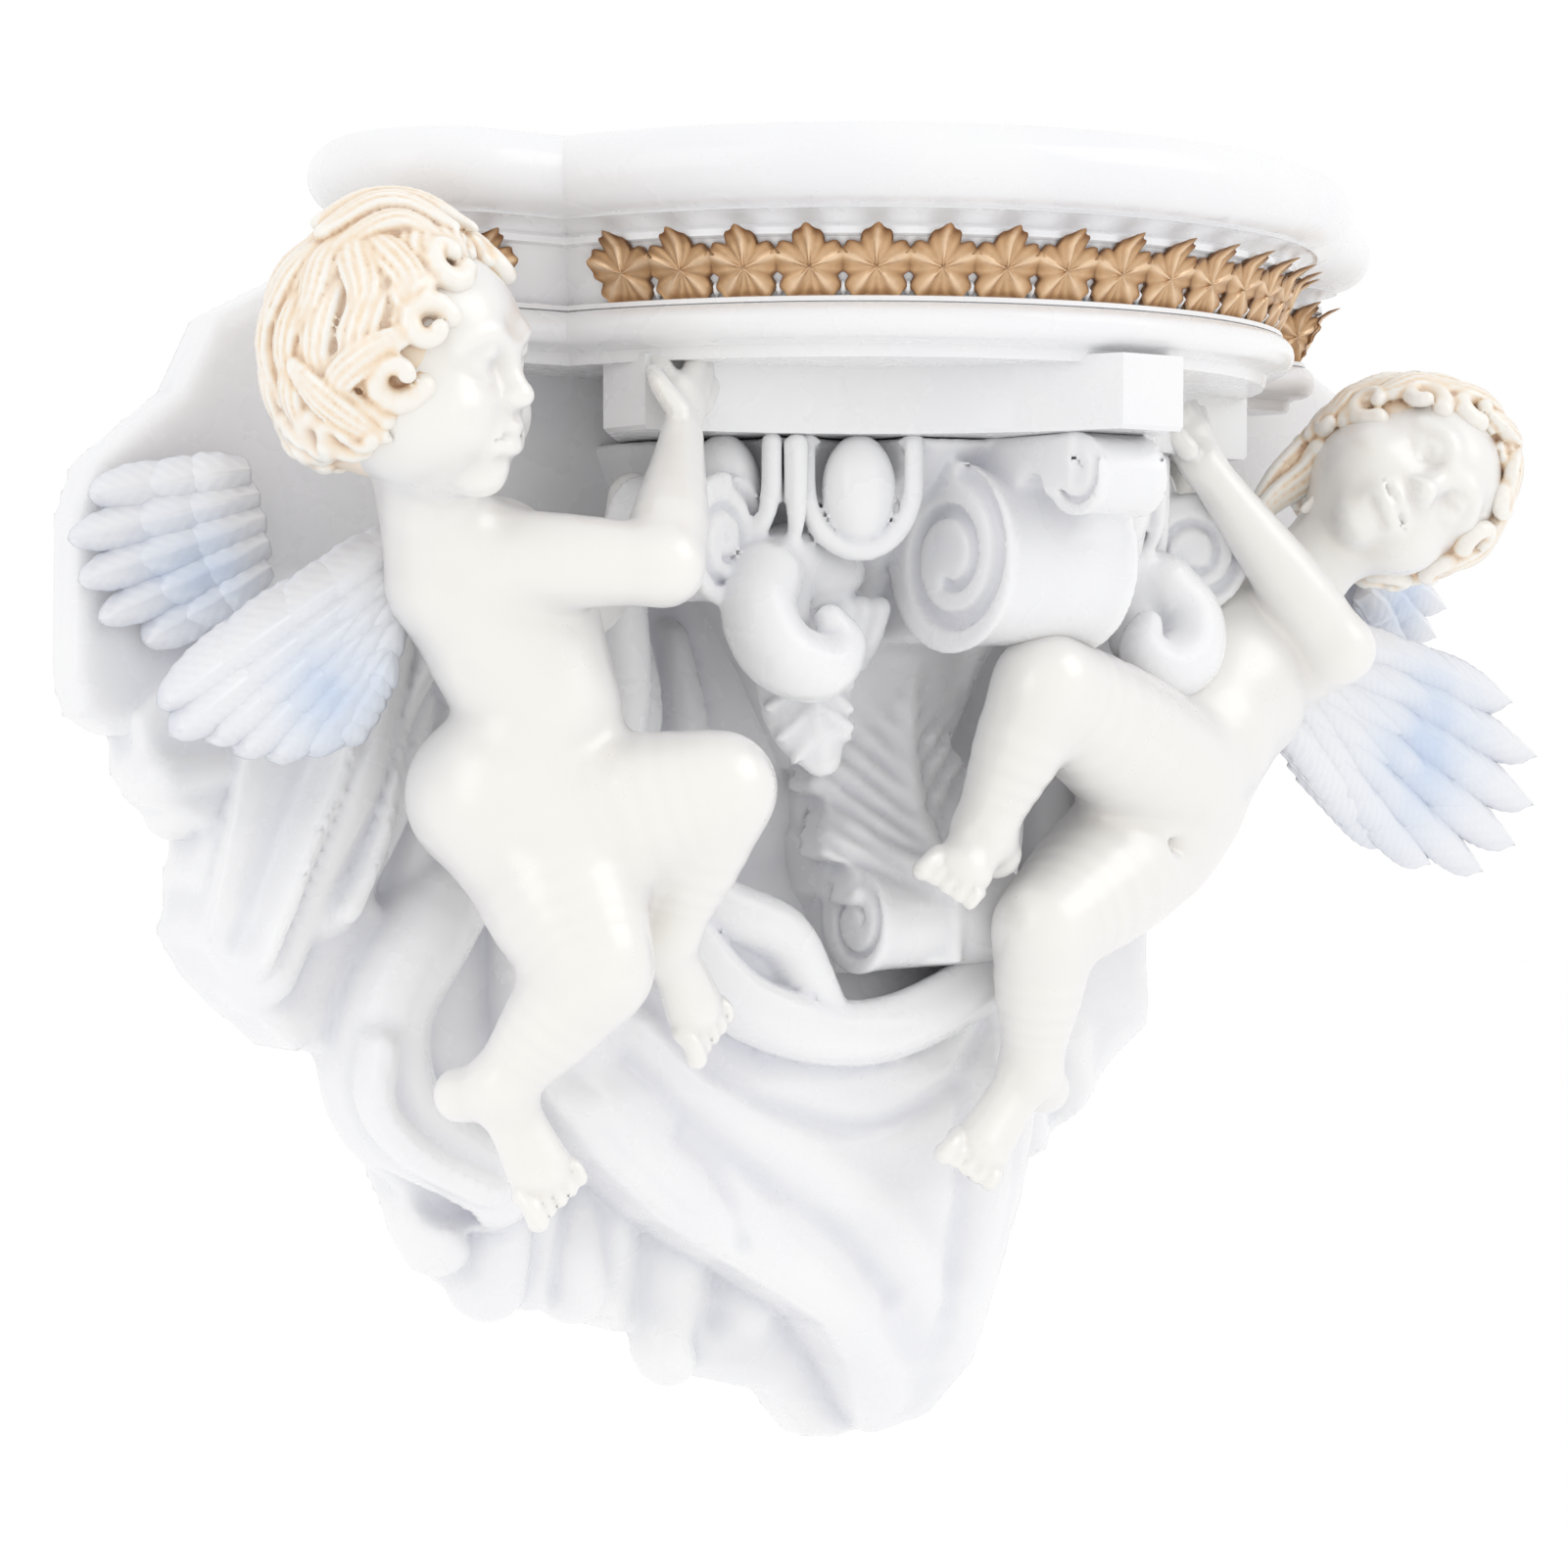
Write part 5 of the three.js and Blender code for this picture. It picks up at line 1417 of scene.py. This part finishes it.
def gilt_leaf(foot, out):
    """Toothed five-lobed leaf with a rib in each lobe and a tip that curls over."""
    slope = (BAND_BOTTOM_INSET - BAND_TOP_INSET) / (BAND_TOP - BAND_BOTTOM)
    side = np.array([-out[1], out[0]])
    middle = (BAND_TOP + BAND_BOTTOM) / 2
    front, back, painted_shade_values = [], [], []
    for ring in range(LEAF_RINGS):
        share = ring / (LEAF_RINGS - 1)
        for step in range(LEAF_STEPS):
            angle = 360 * step / LEAF_STEPS
            reach = max(0.05, share * leaf_reach(angle))
            across, up = reach * math.cos(math.radians(angle)), reach * math.sin(math.radians(angle))
            rib = max(rib_share(angle, lobe[0]) for lobe in LEAF_LOBES)
            furrow = 0.5 + 0.5 * math.cos(math.radians((angle - 90) * LEAF_TEETH))
            lift = 1.6 + 1.0 * rib * (1 - 0.5 * share) + 0.6 * furrow * share - 0.9 * share**2
            lift += 3.4 * max(0.0, (up - 6.4) / 3.2) ** 1.4
            height = middle - 0.6 + up
            spot = foot + side * across + out * (lift + up * slope)
            front.append((*spot, height))
            back.append((*(spot - out * LEAF_THICK), height))
            # painted shade value: low on the ribs, higher in the tooth furrows and towards the leaf's edge
            painted_shade_values.append(min(1.0, 0.42 - 0.4 * rib + 0.5 * share**6 + 0.16 * (1 - furrow) * share))
    rings = len(front)
    faces = grid_faces(LEAF_RINGS, LEAF_STEPS, True)
    faces += [tuple(i + rings for i in face[::-1]) for face in faces]
    last = (LEAF_RINGS - 1) * LEAF_STEPS
    for step in range(LEAF_STEPS):
        a, b = last + step, last + (step + 1) % LEAF_STEPS
        faces.append((b, a, a + rings, b + rings))
    faces.append(tuple(range(LEAF_STEPS))[::-1])
    faces.append(tuple(range(rings, rings + LEAF_STEPS)))
    return front + back, faces, painted_shade_values * 2


def stud(foot, out):
    """Small diamond with a raised middle, in the low gap between two leaves."""
    side = np.array([-out[1], out[0]])
    height = BAND_BOTTOM + 2.2
    spots = [(2.1, 0, 0), (0, 0, 2.9), (-2.1, 0, 0), (0, 0, -2.9), (0, 2.4, 0), (0, -1.5, 0)]
    points = [(*(foot + side * x + out * (y - 2.2)), height + z) for x, y, z in spots]
    faces = [(a, (a + 1) % 4, 4) for a in range(4)] + [((a + 1) % 4, a, 5) for a in range(4)]
    return points, faces


def make_leaves():
    """Gilt leaves all along the band, and a stud in each gap between two of them."""
    places = band_places()
    leaves, studs, painted_shade_values = [], [], []
    for foot, out in places:
        points, faces, values = gilt_leaf(foot, out)
        leaves.append((points, faces))
        painted_shade_values += values
    for (foot, out), (next_foot, next_out) in zip(places, places[1:]):
        if np.linalg.norm(foot - next_foot) < 1.3 * LEAF_PITCH:
            studs.append(stud((foot + next_foot) / 2, unit(out + next_out)))
    make_piece("gilt_leaves", *join_parts(leaves), GOLD, "gold_leaf", (), {"hollow": painted_shade_values})
    points, faces = join_parts(studs)
    calm = {"hollow": np.full(len(points), EVEN_SHADE)}
    make_piece("band_studs", points, faces, WHITE, "gloss_white", (), calm)


make_leaves()


# Stage, lights and camera
CAMERA_PLACE = (-0.66948, -0.87384, 0.0)
CAMERA_TURN = (90 - 1.555, 0.0, -37.0)
CAMERA_LENS = 83.2
SENSOR_WIDTH = 36.0
FLOOR_DROP = 0.75
FLOOR_RADIUS = 9
FLOOR_STEPS = 64
LIT_SPOT = (0.0, -0.05, 0.0)


def make_floor():
    mesh = bpy.data.meshes.new("floor")
    angles = [2 * math.pi * i / FLOOR_STEPS for i in range(FLOOR_STEPS)]
    ring = [(FLOOR_RADIUS * math.cos(a), FLOOR_RADIUS * math.sin(a), -FLOOR_DROP) for a in angles]
    mesh.from_pydata(ring, [], [tuple(range(FLOOR_STEPS))])
    material, _, _ = new_material("floor_paint", FULL, 1.0)
    mesh.materials.append(material)
    link("floor", mesh)


def make_light(name, place, size, power):
    """Soft rectangular light that faces the shelf."""
    lamp = bpy.data.lights.new(name, "AREA")
    lamp.shape = "RECTANGLE"
    lamp.size, lamp.size_y = size
    lamp.energy = power
    holder = link(name, lamp)
    holder.location = place
    holder.rotation_euler = (Vector(LIT_SPOT) - Vector(place)).to_track_quat("-Z", "Y").to_euler()


def make_studio():
    world = bpy.data.worlds.new("studio")
    world.use_nodes = True
    background = world.node_tree.nodes["Background"]
    background.inputs[0].default_value = (*FULL, 1)
    background.inputs[1].default_value = 1.0
    bpy.context.scene.world = world
    make_light("key", (0.9, -1.5, 1.2), (1.3, 1.3), 5.0)
    make_light("side", (-1.6, -0.5, 0.6), (0.7, 1.6), 2.0)


def make_camera():
    """Camera at the angle of the photograph."""
    lens = bpy.data.cameras.new("view")
    lens.lens = CAMERA_LENS
    lens.sensor_width = SENSOR_WIDTH
    lens.clip_end = 50.0
    holder = link("view", lens)
    holder.location = CAMERA_PLACE
    holder.rotation_euler = [math.radians(angle) for angle in CAMERA_TURN]
    bpy.context.scene.camera = holder
    bpy.context.scene.view_settings.view_transform = "Standard"


make_floor()
make_studio()
make_camera()
